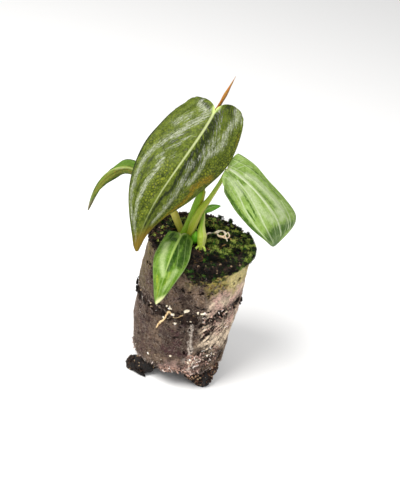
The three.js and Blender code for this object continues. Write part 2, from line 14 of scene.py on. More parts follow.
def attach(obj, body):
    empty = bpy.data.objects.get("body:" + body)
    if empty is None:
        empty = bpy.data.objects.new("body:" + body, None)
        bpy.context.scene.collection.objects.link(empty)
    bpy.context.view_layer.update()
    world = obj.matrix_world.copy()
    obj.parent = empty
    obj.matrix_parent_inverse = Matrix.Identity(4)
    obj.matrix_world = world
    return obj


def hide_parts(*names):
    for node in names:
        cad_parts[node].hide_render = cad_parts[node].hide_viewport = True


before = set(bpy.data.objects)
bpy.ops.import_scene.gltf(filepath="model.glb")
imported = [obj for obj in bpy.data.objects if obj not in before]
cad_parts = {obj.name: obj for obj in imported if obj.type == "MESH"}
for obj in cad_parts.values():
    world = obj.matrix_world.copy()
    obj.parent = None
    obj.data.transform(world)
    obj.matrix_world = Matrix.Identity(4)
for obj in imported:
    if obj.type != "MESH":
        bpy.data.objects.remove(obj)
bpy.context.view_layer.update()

MM = 0.001
UP = Vector((0, 0, 1))

# Camera: the view is fitted to the rim of the plug. The nearest thing seen is in metres
VIEW_HEIGHT_DEG = 32
VIEW_ROLL_DEG = 12.5
VIEW_DISTANCE = 450
VIEW_PIXELS = (400, 500)
FOCAL_PIXELS = 900
RIM_CENTRE_PIXEL = (201.5, 240.5)
SENSOR = 36
NEAREST_SEEN = 0.01

# Floor and lights, in metres. Each lamp: place, width, power and tint
FLOOR_SIZE = 4
FLOOR_COLOUR = "#f4f4f4"
LAMPS_AIM = (0, 0, 0.08)
LAMPS = {
    "key": ((-0.35, -0.3, 0.75), 0.45, 8.5, (1, 0.985, 0.96)),
    "fill": ((0.7, -0.3, 0.5), 0.6, 2.6, (1, 0.99, 0.98)),
}
ROOM_LIGHT = 0.62

# Plug and paper sleeve
PLUG_HEIGHT = 78
RIM_RADIUS = 26
FOOT_RADIUS = 23.2
PAPER = 0.8
PAPER_SKIN = 0.45
GAP = 0.3
FOOT_HEIGHT_FRONT = 12.8
FOOT_HEIGHT_BACK = 7
FOOT_TEAR = 1.3
RIM_TEAR = 0.7
CREASE = 0.45
BELLY = 1.7
BELLY_LEFT = 0.8
SEAM_ANGLE = -72
SEAM_WIDTH = 7
SEAM_LAP = 0.7
SEAM_FADE = 1.2
PAPER_GRID = (120, 384)
WRINKLE = 0.35
SLANT_DEG = 42
SLANT_DEPTH = 0.55
FRAY = 0.9
SHRED_THICKNESS = 0.12

# Pale line beside the seam: degrees away from it at its top, and its lean in degrees a millimetre.
# Pale patch at the foot of the seam: degrees from the seam, height and radius
SEAM_LINE_ASIDE = 8.2
SEAM_LINE_LEAN = 0.28
SEAM_LINE_TOP = 44
SEAM_LINE_HALF = 2.3
SEAM_PATCH = (1, 20.5, 3.2)

# Band of worn-through holes in the paper
HOLE_COUNT = 10
HOLE_BAND_HEIGHT = 48
HOLE_BAND_TILT = 3.5
HOLE_WIDTH = 5.4
HOLE_TALL = 3.4
HOLE_RAGGEDNESS = 0.55

# Growing medium, with its rows underneath, up the wall and over the top. Each clod: centre and half sizes
SOIL_LEVEL = 76.6
SOIL_RELIEF = 1.5
REST_CENTRE = Vector((0, 6, 0))
REST_RADIUS = 12
SOIL_SIDES = 220
UNDER_ROWS = 16
WALL_ROWS = 70
TOP_ROWS = 46
WALL_SLACK = 0.35
WALL_BELOW_RIM = 0.8
CLODS = [
    ((-20.2, -14, 3.4), (4.6, 3.4, 4.6)),
    ((-15.8, -14.6, 4.8), (5.2, 4.2, 6.2)),
    ((-10.6, -12.6, 7), (4.2, 3.8, 4.6)),
    ((10.4, -15, 8), (4.4, 4.2, 5)),
    ((15.4, -13.4, 5), (5.4, 4.8, 6.6)),
    ((18.2, -10, 9), (4.2, 4.6, 5.6)),
]

# Moss: centre, radius, height and seed of each cushion, and the mat over the front of the rim
CUSHIONS = {
    "moss_cushion_right": ((11.8, 2.4), 8.6, 3, 1),
    "moss_cushion_back": ((3.4, 15.2), 6.2, 3.4, 2),
    "moss_cushion_front": ((9.6, -12.4), 5.4, 2, 4),
    "moss_cushion_left": ((-11.3, 10.4), 6, 2.2, 5),
}
CUSHION_EDGE = 0.7
CUSHION_LUMPS = 0.35
CUSHION_RAGGEDNESS = 0.12
CUSHION_RINGS = 26
CUSHION_SIDES = 72
CUSHION_SPRIGS = 15
LEVEL_BORDER = 3.6
LEVEL_FADE = 3
MAT_ANGLES = (-87, 34)
MAT_THICKNESS = 1.4
MAT_DROP = 3.8
MAT_CLEARANCE = 0.5
MAT_REACH = 4
MAT_GRID = (24, 150)
MAT_LEVEL = 77.3
SPRIG_LEAVES = 7
SPRIG_LEAF_RADIUS = 0.11
SPRIG_LEAF_TILT = 0.8
SPRIG_LEAF_TURN = 2.4

# How many crumbs, grains, sprigs, fibres and bits are strewn, and the seed of each draw
TOP_CRUMBS = 1500
BAND_CRUMBS = 1300
CLOD_CRUMBS = 1900
FOOT_CRUMBS = 700
RIM_CRUMBS = 1300
LUMP_CRUMBS = 60
CLOD_GRAINS = 1100
DRY_STRANDS = 520
TOP_SPRIGS = 2600
TUFT_SPRIGS = 45
MAT_SPRIGS = 2600
PAPER_MOSS = 1100
PAPER_FIBRES = 5200
FOOT_FIBRES = 1500
HOLE_FIBRES = 900
BIT_GRAINS = 3
LOOSE_BITS = 150
SEEDS = dict(
    medium_crumbs=11, moss_mat=21, top_tufts=31, paper_fibres=41, pale_bits=51, edge_lumps=61,
    foot_shreds=71, clod_grains=81, dry_strands=91,
)
# Crumbs and grains on the clods stay this far above the floor
CRUMB_LOWEST = 0.9
GRAIN_LOWEST = 1.1
# How far from the plug's axis the top is strewn, and the heights of the worn band and of the loose pale bits
CRUMBS_REACH = 25.2
STRANDS_REACH = 25
SPRIGS_REACH = 25.6
TUFTS_REACH = 25.4
BAND_HEIGHTS = (34, 52)
BIT_HEIGHTS_LOW = (13, 21)
BIT_HEIGHTS_BAND = (43, 54)

# Leaf blades. midrib: handles of a cubic curve from the joint to the tip. side: towards the right margin,
# seen from above with the tip down. twist: degrees the blade turns about its midrib. Pairs are left half,
# right half. fold, rim: slope in degrees at the midrib and at the margin. base, widest, power, taper, blunt:
# the outline, as half_width reads it. veins: number of side veins. sweep, hook: how far they run on towards
# the tip, evenly and near the margin. start: where the first one leaves. quilt, ripple: swelling between the
# veins and wave of the margin, in mm. tip: where the tip's own colour begins and where it is full.
# outward -1: the upper side of the leaf faces the other way. pale, warm, deep, cell: streaks of silvery
# colour with painted sheen and highlights, warm flush, deep green with painted shade, and yellow cells. Each
# has its half width in mm, its strength, and its path as shares along the midrib and across the half.
BLADE = 0.45
LOBE_DROOP = 0.02
MIDRIB_GROOVE = 0.3
MIDRIB_REACH = 0.7
FINE_RELIEF = 0.16
MARGIN_WAVES = 3.2
CURVE_STEPS = 200
STREAK_KINDS = ("pale", "warm", "deep", "cell")
LEAVES = {
    "large_leaf_blade": dict(
        midrib=[(-7, -2.1, 147.9), (-12, -15.3, 132), (-30.5, -30.1, 107.7), (-28.3, -31.9, 84.1)],
        side=(0.92, 0.2, 0.34), twist=-15, width=(21, 21.3), lobe=(4.7, 7.5), fold=(10, 22), rim=(38, 45),
        base=0.72, widest=0.24, power=2.7, taper=2.2, blunt=0.09, quilt=0.6, veins=3.6, sweep=0.5, hook=0.6,
        start=0, grid=(200, 120), ripple=0.35, tip=(0.8, 0.94),
        pale=[
            (2.2, 0.82, [(0.05, -0.14), (0.1, -0.18), (0.15, -0.25), (0.2, -0.37),
                         (0.26, -0.44), (0.31, -0.53)]),
            (1.5, 0.8, [(0.31, -0.53), (0.36, -0.63), (0.41, -0.71), (0.47, -0.79),
                        (0.54, -0.82), (0.66, -0.88)]),
            (1.7, 0.75, [(0.66, -0.88), (0.73, -0.88), (0.8, -0.83)]),
            (2.6, 0.62, [(0.13, -0.49), (0.17, -0.57), (0.22, -0.66)]),
            (2.1, 0.85, [(0.03, -0.5), (0.05, -0.38), (0.06, -0.24)]),
            (1, 0.5, [(0.22, -0.12), (0.29, -0.25), (0.35, -0.36), (0.41, -0.47), (0.45, -0.55)]),
            (1.8, 0.78, [(0.43, -0.4), (0.5, -0.41), (0.55, -0.45), (0.6, -0.5), (0.66, -0.55),
                         (0.7, -0.6), (0.77, -0.6)]),
            (1, 0.45, [(0.37, -0.2), (0.42, -0.32), (0.46, -0.36)]),
            (2, 0.5, [(0.04, 0.1), (0.1, 0.2), (0.15, 0.27), (0.21, 0.31)]),
            (2.2, 0.8, [(0.02, 0.56), (0.04, 0.66), (0.1, 0.53), (0.15, 0.5)]),
            (2, 0.82, [(0.15, 0.5), (0.19, 0.53), (0.24, 0.5), (0.28, 0.42)]),
            (3.4, 0.6, [(0.2, 0.34), (0.3, 0.34)]),
            (1.6, 0.78, [(0.3, 0.4), (0.35, 0.45), (0.41, 0.48), (0.47, 0.5)]),
            (2, 0.65, [(0.36, 0.19), (0.43, 0.27), (0.47, 0.31)]),
            (2.4, 0.75, [(0.47, 0.31), (0.53, 0.38), (0.59, 0.43), (0.65, 0.47),
                         (0.71, 0.51), (0.78, 0.52)]),
            (1, 0.7, [(0.01, 0.72), (0.03, 0.86)]),
            (3, 0.8, [(0.79, -0.75), (0.86, -0.6), (0.92, -0.5)]),
        ],
        warm=[
            (2.6, 1, [(0.37, 0.86), (0.42, 0.76), (0.47, 0.7)]),
            (1.9, 0.95, [(0.47, 0.74), (0.53, 0.8), (0.6, 0.86), (0.66, 0.86), (0.75, 0.9)]),
            (1.3, 0.6, [(0.83, 0.7), (0.9, 0.5)]),
            (1, 0.5, [(0.09, 0.86), (0.14, 0.92)]),
        ],
        deep=[
            (2.6, 1, [(0.06, 0.12), (0.14, 0.12), (0.21, 0.14), (0.3, 0.17), (0.36, 0.28)]),
            (1.3, 1, [(0.36, 0.29), (0.41, 0.33), (0.46, 0.36)]),
            (1.2, 1, [(0.3, 0.1), (0.42, 0.12), (0.55, 0.2), (0.62, 0.12), (0.72, 0.1), (0.82, 0.1)]),
            (1, 0.9, [(0.01, -0.58), (0.03, -0.36), (0.035, -0.14)]),
            (3, 0.7, [(0, 0.3), (0.04, 0.45)]),
            (0.6, 0.9, [(0.05, -0.98), (0.3, -0.98), (0.62, -0.98)]),
            (1.6, 0.6, [(0.22, -0.25), (0.3, -0.38), (0.38, -0.52)]),
            (1.4, 0.6, [(0.45, -0.62), (0.55, -0.66), (0.65, -0.7)]),
        ],
        cell=[
            (3, 1, [(0.46, -0.2), (0.56, -0.2), (0.66, -0.26), (0.74, -0.3)]),
            (2, 0.6, [(0.3, -0.75), (0.4, -0.85)]),
            (3.4, 1, [(0.12, 0.92), (0.22, 0.88), (0.3, 0.78), (0.38, 0.66)]),
            (2.5, 0.7, [(0.56, 0.65), (0.68, 0.7), (0.78, 0.75)]),
            (1.5, 0.7, [(-0.03, -0.12), (-0.02, -0.35)]),
        ],
    ),
    "right_leaf_blade": dict(
        midrib=[(4.9, -4.1, 122.4), (14.8, -0.9, 117.3), (33.7, -12.5, 111.1), (36.8, -3.4, 88.1)],
        side=(0.22, -0.4, -0.89), twist=43, width=(12.2, 14.5), lobe=(1, 1.6), fold=(6, 6), rim=(60, 60),
        base=0.71, widest=0.57, power=2.25, taper=0.68, blunt=0.04, quilt=0.35, veins=1.2, sweep=2.2,
        hook=0, start=-0.35, grid=(140, 90), ripple=0.2, outward=-1,
        pale=[
            (0.85, 1, [(0, 0), (0.12, -0.06), (0.21, -0.06), (0.31, -0.03), (0.43, -0.02), (0.54, -0.02)]),
            (0.75, 1, [(0.54, -0.02), (0.66, -0.06), (0.77, -0.11), (0.86, -0.17), (0.93, -0.28)]),
            (0.4, 0.8, [(0.03, -0.12), (0.07, -0.5), (0.1, -0.8)]),
            (0.4, 0.8, [(0.1, -0.15), (0.14, -0.45), (0.18, -0.68), (0.23, -0.78)]),
            (2.4, 0.9, [(0.24, -0.26), (0.33, -0.38), (0.42, -0.36), (0.52, -0.42),
                        (0.61, -0.46), (0.69, -0.46)]),
            (0.5, 0.9, [(0.33, -0.5), (0.45, -0.52), (0.57, -0.42), (0.69, -0.47),
                        (0.78, -0.57), (0.89, -0.72)]),
            (0.5, 0.8, [(0.6, -0.7), (0.7, -0.67), (0.8, -0.71), (0.9, -0.85)]),
            (2, 0.8, [(0.68, -0.27), (0.74, -0.4), (0.76, -0.3)]),
            (2.4, 0.7, [(0.33, 0.12), (0.45, 0.2), (0.55, 0.25), (0.65, 0.22), (0.74, 0.12)]),
            (0.55, 1, [(0.2, 0.18), (0.27, 0.21), (0.38, 0.24), (0.51, 0.32), (0.62, 0.37), (0.72, 0.44)]),
            (0.55, 1, [(0.72, 0.44), (0.83, 0.57), (0.93, 0.76)]),
            (0.5, 0.95, [(0.02, 0.46), (0.08, 0.42), (0.16, 0.42), (0.25, 0.48),
                         (0.32, 0.54), (0.47, 0.68)]),
            (0.5, 0.95, [(0.47, 0.68), (0.61, 0.74), (0.72, 0.82), (0.82, 0.92)]),
            (2.6, 0.75, [(0.1, 0.38), (0.2, 0.35), (0.33, 0.46)]),
            (0.4, 0.6, [(0.67, -0.97), (0.78, -0.96), (0.9, -0.97)]),
        ],
        warm=[(2, 0.6, [(0.35, 0.75), (0.5, 0.82)])],
        deep=[
            (1, 0.6, [(0.41, -0.17), (0.53, -0.15), (0.64, -0.24)]),
            (1.6, 0.6, [(0.02, 0.2), (0.12, 0.14), (0.2, 0.12), (0.28, 0.1)]),
            (0.5, 1, [(0.5, 0.64), (0.57, 0.65), (0.64, 0.66)]),
            (1.5, 1, [(0.12, 0.93), (0.3, 0.92), (0.45, 0.92), (0.6, 0.94), (0.75, 0.95)]),
            (3.4, 1, [(0.84, 0.85), (0.85, 0.5), (0.86, 0.18), (0.88, -0.2), (0.86, -0.55), (0.85, -0.85)]),
            (3, 0.8, [(0.93, 0.5), (0.94, 0), (0.93, -0.5)]),
            (1.2, 0.5, [(0.05, -0.35), (0.08, -0.65)]),
            (1.5, 0.6, [(0.25, -0.7), (0.4, -0.75), (0.55, -0.75)]),
            (0.7, 0.8, [(0.2, 0.32), (0.35, 0.36), (0.5, 0.45), (0.62, 0.52)]),
        ],
        cell=[],
    ),
    "front_leaf_blade": dict(
        midrib=[(-10.2, -8.2, 83.6), (-12.9, -25, 81.8), (-12.7, -38.4, 85.2), (-14.6, -37.1, 60.6)],
        side=(0.98, 0.17, -0.13), twist=26, width=(8.6, 8.9), lobe=(1.2, 3.7), fold=(10, 10), rim=(30, 30),
        base=0.79, widest=0.36, power=1.64, taper=0.75, blunt=0.04, quilt=0.22, veins=2.4, sweep=1,
        hook=0.2, start=0.05, grid=(120, 64), ripple=0.15,
        pale=[
            (0.5, 0.6, [(0.02, 0.02), (0.15, -0.05), (0.31, -0.06), (0.46, -0.02),
                        (0.62, -0.01), (0.95, -0.05)]),
            (2.2, 0.9, [(0.2, -0.56), (0.35, -0.46), (0.51, -0.42), (0.62, -0.3), (0.7, -0.12)]),
            (0.45, 0.35, [(0.18, 0.27), (0.33, 0.32), (0.47, 0.44), (0.57, 0.57)]),
            (2.2, 0.75, [(0.6, 0.57), (0.75, 0.5), (0.85, 0.37)]),
            (0.35, 1, [(0.11, 0.97), (0.3, 0.985), (0.6, 0.985), (0.9, 0.985)]),
            (0.3, 0.7, [(0.1, -0.98), (0.5, -0.98), (0.9, -0.98)]),
        ],
        warm=[
            (1.6, 0.9, [(0.75, -0.6), (0.86, -0.36), (0.93, -0.2)]),
            (1.5, 0.7, [(0.66, 0.3), (0.8, 0.3)]),
        ],
        deep=[
            (1.9, 1, [(0.05, -0.55), (0.12, -0.45), (0.12, -0.2)]),
            (1.6, 1, [(0.06, 0.25), (0.2, 0.2), (0.35, 0.18), (0.5, 0.15), (0.62, 0.08)]),
            (3, 1, [(0.1, 0.6), (0.25, 0.6), (0.4, 0.6), (0.5, 0.62)]),
            (1, 0.45, [(0.3, -0.88), (0.55, -0.88), (0.72, -0.75)]),
        ],
        cell=[],
    ),
    "left_leaf_blade": dict(
        midrib=[(-35.3, 13, 98.5), (-43, 12.2, 107.5), (-59.5, 10.9, 103), (-59.8, 8.5, 75.7)],
        side=(-0.44, -0.77, -0.47), twist=-15, width=(8.3, 5.8), lobe=(1.5, 1), fold=(20, 40),
        rim=(50, 125), base=0.62, widest=0.35, power=1.56, taper=0.75, blunt=0.05, quilt=0.15, veins=2.4,
        sweep=1.2, hook=0.2, start=0.05, grid=(120, 64), ripple=0.15,
        pale=[
            (0.5, 0.9, [(0.15, -0.03), (0.24, -0.02), (0.38, 0.07), (0.48, 0.08)]),
            (1.2, 0.6, [(0.86, 0.3), (0.98, 0.3)]),
        ],
        warm=[(3, 1, [(0.1, 0.3), (0.28, 0.25), (0.43, 0.38), (0.6, 0.53), (0.72, 0.58), (0.85, 0.5)])],
        deep=[
            (1, 1, [(0.1, -0.95), (0.4, -0.95), (0.6, -0.95)]),
            (0.6, 0.9, [(0.5, -0.15), (0.59, -0.05), (0.7, 0), (0.8, 0.19), (0.88, 0.36)]),
            (0.9, 0.9, [(0.27, 0.7), (0.47, 0.95), (0.61, 0.9), (0.73, 0.95)]),
        ],
        cell=[],
    ),
    "back_leaf_blade": dict(
        midrib=[(-2, 2.9, 93), (0, 4.2, 94.8), (2.6, 6.6, 95.6), (5.6, 9.2, 94.4)],
        side=(-0.62, 0.71, 0.34), twist=0, width=(2.1, 2), lobe=(0.5, 0.5), fold=(10, 10), rim=(30, 30),
        base=0.6, widest=0.4, power=1.7, taper=0.9, blunt=0.1, quilt=0.05, veins=3, sweep=0.8, hook=0.2,
        start=0.05, grid=(40, 20), ripple=0.05,
        pale=[],
        warm=[],
        deep=[(0.8, 0.6, [(0.1, 0.5), (0.6, 0.5)])],
        cell=[],
    ),
}

# Stalks: the points of each path, and the radius at each point
STALKS = {
    "main_stem": (
        [(-8.6, -0.8, 70), (-8.4, -0.9, 77.5), (-7.4, -0.8, 84), (-6, -0.4, 94), (-4.9, 0.3, 105)],
        [2.6, 3.3, 2.7, 2.6, 1.9],
    ),
    "large_leaf_petiole": (
        [(-5.2, 1.2, 106), (-5.4, 3, 118), (-6, 3.6, 132), (-7, 1.2, 143.5), (-7.2, -1.4, 147.4)],
        [1.6, 1.5, 1.4, 1.3, 1.2],
    ),
    "new_leaf_spear": (
        [(-6.6, 2, 88), (-5.6, 3.1, 101), (-7.2, 6, 119), (-9.2, 7, 135), (-5.4, 5, 148.6),
         (-0.9, 2.6, 165)],
        [0.5, 1.3, 1.4, 1.3, 1, 0.3],
    ),
    "right_leaf_petiole": (
        [(-6.6, -2.6, 79), (-5.6, -3, 88), (-3.7, -2.6, 96), (-0.7, -2, 103), (2.6, -2.6, 113),
         (4.6, -3.8, 121.3)],
        [1.7, 2, 1.8, 1.2, 1, 0.9],
    ),
    "front_leaf_petiole": ([(-9, -4.2, 80.4), (-9.8, -6, 81.9), (-10.3, -8.2, 82.2)], [1.3, 1.2, 1]),
    "left_leaf_petiole": (
        [(-10.4, 0.8, 79.6), (-13, 2.6, 83), (-18, 6, 89), (-26, 10, 96), (-34.6, 13, 97.7)],
        [1.5, 1.8, 1.5, 1.2, 0.9],
    ),
    "side_shoot": (
        [(0.6, -5.6, 71), (0.4, -5.4, 78.5), (-1.1, -2.6, 86), (-1.6, 0.6, 90.5), (-1.9, 2.5, 92.4)],
        [1.3, 1.4, 2.6, 1.3, 0.7],
    ),
    "bud_leaf": (
        [(-3.4, -4.9, 78.4), (-3.3, -4.9, 80.5), (-3.4, -4.7, 83), (-3.6, -4.3, 85)],
        [0.6, 1.9, 1.8, 0.4],
    ),
}
STALK_SIDES = 28
STALK_STEPS = 60
CAP_ROWS = 3
CAP_BULGE = 0.6
# New leaf: share along it, and how wide it is there
SPEAR_WIDTHS = ((0, 1), (0.7, 1), (0.8, 0.75), (0.87, 1.15), (0.94, 0.8), (1, 0.25))
# Nubs of root at the foot of the side shoot
ROOT_NUBS = [
    [(0.2, -5.4, 78.6), (-1.4, -7.2, 78), (-2.2, -8.2, 76.9)],
    [(0.8, -5.6, 78.6), (2.2, -7, 78.2), (2.9, -7.9, 77.1)],
]
ROOT_NUB_RADIUS = 0.6

# Root on the paper: angle, height and share of the radius at each point. Its right end dives under the paper
SLEEVE_ROOT = [
    (-118, 37, 0.6), (-115, 41, 1), (-110.5, 44.5, 0.65), (-107.5, 49.5, 0.85), (-101, 46.5, 0.5),
    (-94, 48.5, 0.6), (-88, 51.5, 0.3),
]
SLEEVE_ROOT_RADIUS = 0.6
SLEEVE_ROOT_OUT = 0.3
SLEEVE_ROOT_SUNK = -0.8
SLEEVE_ROOT_DIVES = -105

# Root looped over the right cushion, seen from above
SURFACE_ROOT_RADIUS = 0.62
SURFACE_ROOT_RISE = 1.3
ROOT_STEPS = 90
ROOT_LOOPS = [
    [(1.0, 2.6), (2.7, 6.3), (5.0, 8.3), (7.2, 7.7), (7.0, 4.2), (5.8, 5.6), (7.7, 7.5), (9.7, 7.8),
     (11.0, 5.4), (10.3, 1.6), (8.3, 1.2), (7.3, 3.3)],
    [(9.9, 0.5), (11.9, 0.8), (13.2, 3.8), (12.0, 5.8), (11.2, 3.0), (12.6, -0.4)],
]

# Tall tufts of moss on the rim: angle and height
RIM_TUFTS = [(74, 2.2), (60, 2.6), (45, 1.2), (28, 3.2), (12, 2.4), (-4, 1.6), (96, 1.2), (-18, 1.2)]

# Pale root ends and grit on the paper: angle, height and size
PALE_BITS = [
    (-111, 52, 1), (-107, 51.5, 1.5), (-103, 48.5, 1.6), (-111.5, 45, 1.3), (-98, 44, 1.2),
    (-89, 52.5, 2.3), (-83, 47, 0.8), (-76, 52.5, 1.7), (-71.5, 52.8, 2), (-61, 50, 0.8), (-40, 50.5, 1.5),
    (-123.5, 17.5, 1.3), (-96.5, 22.5, 1.1), (-53.5, 24, 1.5), (-57.5, 21, 1), (-43, 23.5, 1.1),
    (-74, 20, 1.6), (-72.5, 22, 1.5), (-71, 19.5, 1.9), (-73.5, 17.6, 1.3), (-70, 21, 1.2),
]
# Torn shreds: range of angles, range of heights or the edge of the foot, how many, and their length
SHREDS = [
    ((-106, -58), None, 70, 2.8),
    ((-79, -62), (17, 25), 50, 3),
    ((-62, -36), (17, 29), 70, 1.6),
    ((-70, -25), (36, 54), 60, 2.2),
    ((-180, 180), None, 60, 1.8),
]
# Dark lumps at the ends of the worn band: angle, height and size
EDGE_LUMPS = [
    (-170, 48, 2.4), (-167, 45, 1.8), (-4, 49, 1.6), (-20, 53, 1.2), (10, 50, 1.4), (-140, 47, 1.2),
]
# Flake under the left clod
FLAKE = [
    (-23.4, -13.4, 4.4), (-22.2, -14.8, 3), (-18.8, -17, 1.9), (-15.8, -18.6, 1.3), (-13.6, -19.8, 0.9),
]
FLAKE_RADII = [0.5, 1.1, 1.3, 1, 0.3]


def lerp(a, b, t):
    """Value at share t of the way from a to b."""
    return a + (b - a) * t


def clamp(x, low=0.0, high=1.0):
    return min(max(x, low), high)


def ease(low, high, x):
    """Smooth change from 0 at low to 1 at high."""
    t = clamp((x - low) / (high - low))
    return t * t * (3 - 2 * t)


def scatter(i, j, k):
    """Fraction between -1 and 1 that three whole numbers always give, as in the solids."""
    h = (i * 374761393 + j * 668265263 + k * 1274126177) & 0xFFFFFFFF
    h = ((h ^ (h >> 13)) * 1103515245) & 0xFFFFFFFF
    return (h ^ (h >> 16)) / 0x80000000 - 1


def drift(x, y, z):
    """Smooth noise between -1 and 1 at a point, as in the solids."""
    i, j, k = math.floor(x), math.floor(y), math.floor(z)
    fx, fy, fz = (t * t * (3 - 2 * t) for t in (x - i, y - j, z - k))
    rows = [
        lerp(scatter(i, j + b, k + c), scatter(i + 1, j + b, k + c), fx)
        for c in (0, 1) for b in (0, 1)
    ]
    return lerp(lerp(rows[0], rows[1], fy), lerp(rows[2], rows[3], fy), fz)


def grit(point, size, octaves=3):
    """Rough noise, about -1 to 1, whose largest grains have this size."""
    return noise.fractal(point / size, 1, 2, octaves)


def window(value, low, high, soft):
    """1 between low and high, 0 outside them, with borders this soft."""
    return ease(low - soft, low + soft, value) * ease(high + soft, high - soft, value)


# Meshes


def shaped_grid(along, across, rule, marks=(), rolled=False, flip=False):
    """Grid whose corners a rule places: u along 0 to 1, v across -1 to 1.

    marks: names of the values that the rule gives beside the place. rolled: the edges v = -1 and 1 join.
    """
    mesh = bmesh.new()
    grain = mesh.loops.layers.uv.new("grain")
    layers = [mesh.verts.layers.float.new(mark) for mark in marks]
    bmesh.ops.create_grid(mesh, x_segments=across, y_segments=along, size=1)
    for face in mesh.faces:
        for loop in face.loops:
            loop[grain].uv = ((loop.vert.co.x + 1) / 2, (loop.vert.co.y + 1) / 2)
    for corner in mesh.verts:
        place, values = rule((corner.co.y + 1) / 2, corner.co.x)
        corner.co = place * MM
        for layer, value in zip(layers, values):
            corner[layer] = value
    if rolled:
        bmesh.ops.remove_doubles(mesh, verts=mesh.verts, dist=1e-7)
        bmesh.ops.recalc_face_normals(mesh, faces=mesh.faces)
    elif flip:
        bmesh.ops.reverse_faces(mesh, faces=mesh.faces)
    return mesh


def piece(name, mesh, finishes, nodes=(), smooth=True):
    """Turns a mesh into a piece of the plant, riding on the one body and standing for the named solids."""
    data = bpy.data.meshes.new(name)
    mesh.to_mesh(data)
    mesh.free()
    for finish in finishes:
        data.materials.append(finish)
    if smooth:
        data.shade_smooth()
    made = bpy.data.objects.new(name, data)
    bpy.context.scene.collection.objects.link(made)
    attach(made, "root")
    if nodes:
        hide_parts(*nodes)
    return made


def smooth_path(points, t):
    """Point at share t of a smooth curve through all the points."""
    place = clamp(t) * (len(points) - 1)
    k = min(int(place), len(points) - 2)
    f = place - k
    b, c = Vector(points[k]), Vector(points[k + 1])
    a = Vector(points[k - 1]) if k > 0 else b * 2 - c
    d = Vector(points[k + 2]) if k + 2 < len(points) else c * 2 - b
    return 0.5 * (b * 2 + (c - a) * f + (a * 2 - b * 5 + c * 4 - d) * f**2 + (b * 3 - a - c * 3 + d) * f**3)


def stations(points, radii, steps):
    """Even steps along a path: the centre, two directions across it, the radius and the heading at each."""
    dense = [smooth_path(points, i / (steps * 4)) for i in range(steps * 4 + 1)]
    run = [0.0]
    for a, b in zip(dense, dense[1:]):
        run.append(run[-1] + (b - a).length)
    found = []
    across = None
    k = 0
    for step in range(steps + 1):
        share = step / steps
        while k < len(run) - 2 and run[k + 1] < share * run[-1]:
            k += 1
        span = max(run[k + 1] - run[k], 1e-9)
        centre = dense[k].lerp(dense[k + 1], clamp((share * run[-1] - run[k]) / span))
        along = (dense[k + 1] - dense[k]).normalized()
        if across is None:
            across = along.orthogonal().normalized()
        across = (across - along * across.dot(along)).normalized()
        place = share * (len(radii) - 1)
        n = min(int(place), len(radii) - 2)
        radius = lerp(radii[n], radii[n + 1], place - n)
        found.append((centre, across.copy(), along.cross(across), radius, along))
    return found


def rod(points, radii, steps=STALK_STEPS, sides=STALK_SIDES, section=None):
    """Closed rod along a path with round ends. section(share, angle) scales its radius."""
    found = stations(points, radii, steps)
    rows = steps + 2 * CAP_ROWS

    def rule(u, v):
        row = round(u * rows)
        angle = math.pi * v
        centre, across, other, radius, along = found[int(clamp(row - CAP_ROWS, 0, steps))]
        inset = max(CAP_ROWS - row, row - CAP_ROWS - steps, 0) / CAP_ROWS
        share = clamp((row - CAP_ROWS) / steps)
        if inset > 0:
            way = 1 if row > CAP_ROWS else -1
            centre = centre + along * (radius * CAP_BULGE * math.sin(math.pi / 2 * inset) * way)
            radius = radius * max(math.cos(math.pi / 2 * inset), 0)
        if section:
            radius = radius * section(share, angle)
        outward = across * math.cos(angle) + other * math.sin(angle)
        return centre + outward * radius, (share, outward.x)

    return shaped_grid(rows, sides, rule, marks=("share", "side"), rolled=True)


def joined(meshes):
    """One mesh of several."""
    whole = bmesh.new()
    for part in meshes:
        data = bpy.data.meshes.new("part")
        part.to_mesh(data)
        part.free()
        whole.from_mesh(data)
        bpy.data.meshes.remove(data)
    return whole


def strewn(shape, places):
    """Copies of a small mesh in one mesh: at each place, a matrix in metres, with its tone."""
    data = bpy.data.meshes.new("shape")
    shape.verts.layers.float.new("tone")
    shape.to_mesh(data)
    shape.free()
    whole = bmesh.new()
    for place, tone in places:
        copy = data.copy()
        copy.transform(place)
        copy.attributes["tone"].data.foreach_set("value", [tone] * len(copy.vertices))
        whole.from_mesh(copy)
        bpy.data.meshes.remove(copy)
    bpy.data.meshes.remove(data)
    return whole


def sized(size):
    """Matrix that gives a shape its three sizes in millimetres."""
    return Matrix.Diagonal((size[0] * MM, size[1] * MM, size[2] * MM, 1))


def turned_to(spot, normal, size, rng, tilt):
    """Matrix that puts a shape at a spot, its Z axis near the normal, and turns it at random."""
    lean = Vector([rng.uniform(-tilt, tilt) for _ in range(3)])
    up = (normal.normalized() + lean).normalized()
    spin = Matrix.Rotation(rng.uniform(0, 2 * math.pi), 4, "Z")
    scale = sized(size if isinstance(size, tuple) else (size, size, size))
    return Matrix.Translation(spot * MM) @ up.to_track_quat("Z", "Y").to_matrix().to_4x4() @ spin @ scale


def laid(spot, normal, way, size):
    """Matrix that lays a shape on a surface with its Y axis along a way."""
    up = normal.normalized()
    along = (way - up * way.dot(up)).normalized()
    turn = Matrix((along.cross(up), along, up)).transposed().to_4x4()
    return Matrix.Translation(spot * MM) @ turn @ sized(size)


def rough_grain(spot, way, low, high, rng):
    """Matrix that puts a grain at a spot, turned at random, with three sizes between low and high."""
    return turned_to(spot, way, tuple(rng.uniform(low, high) for _ in range(3)), rng, 1)


def on_disc(rng, radius):
    """Random place on a round top: its angle, its distance from the middle, x and y."""
    turn = rng.uniform(-math.pi, math.pi)
    reach = radius * math.sqrt(rng.random())
    return turn, reach, reach * math.cos(turn), reach * math.sin(turn)


# Materials


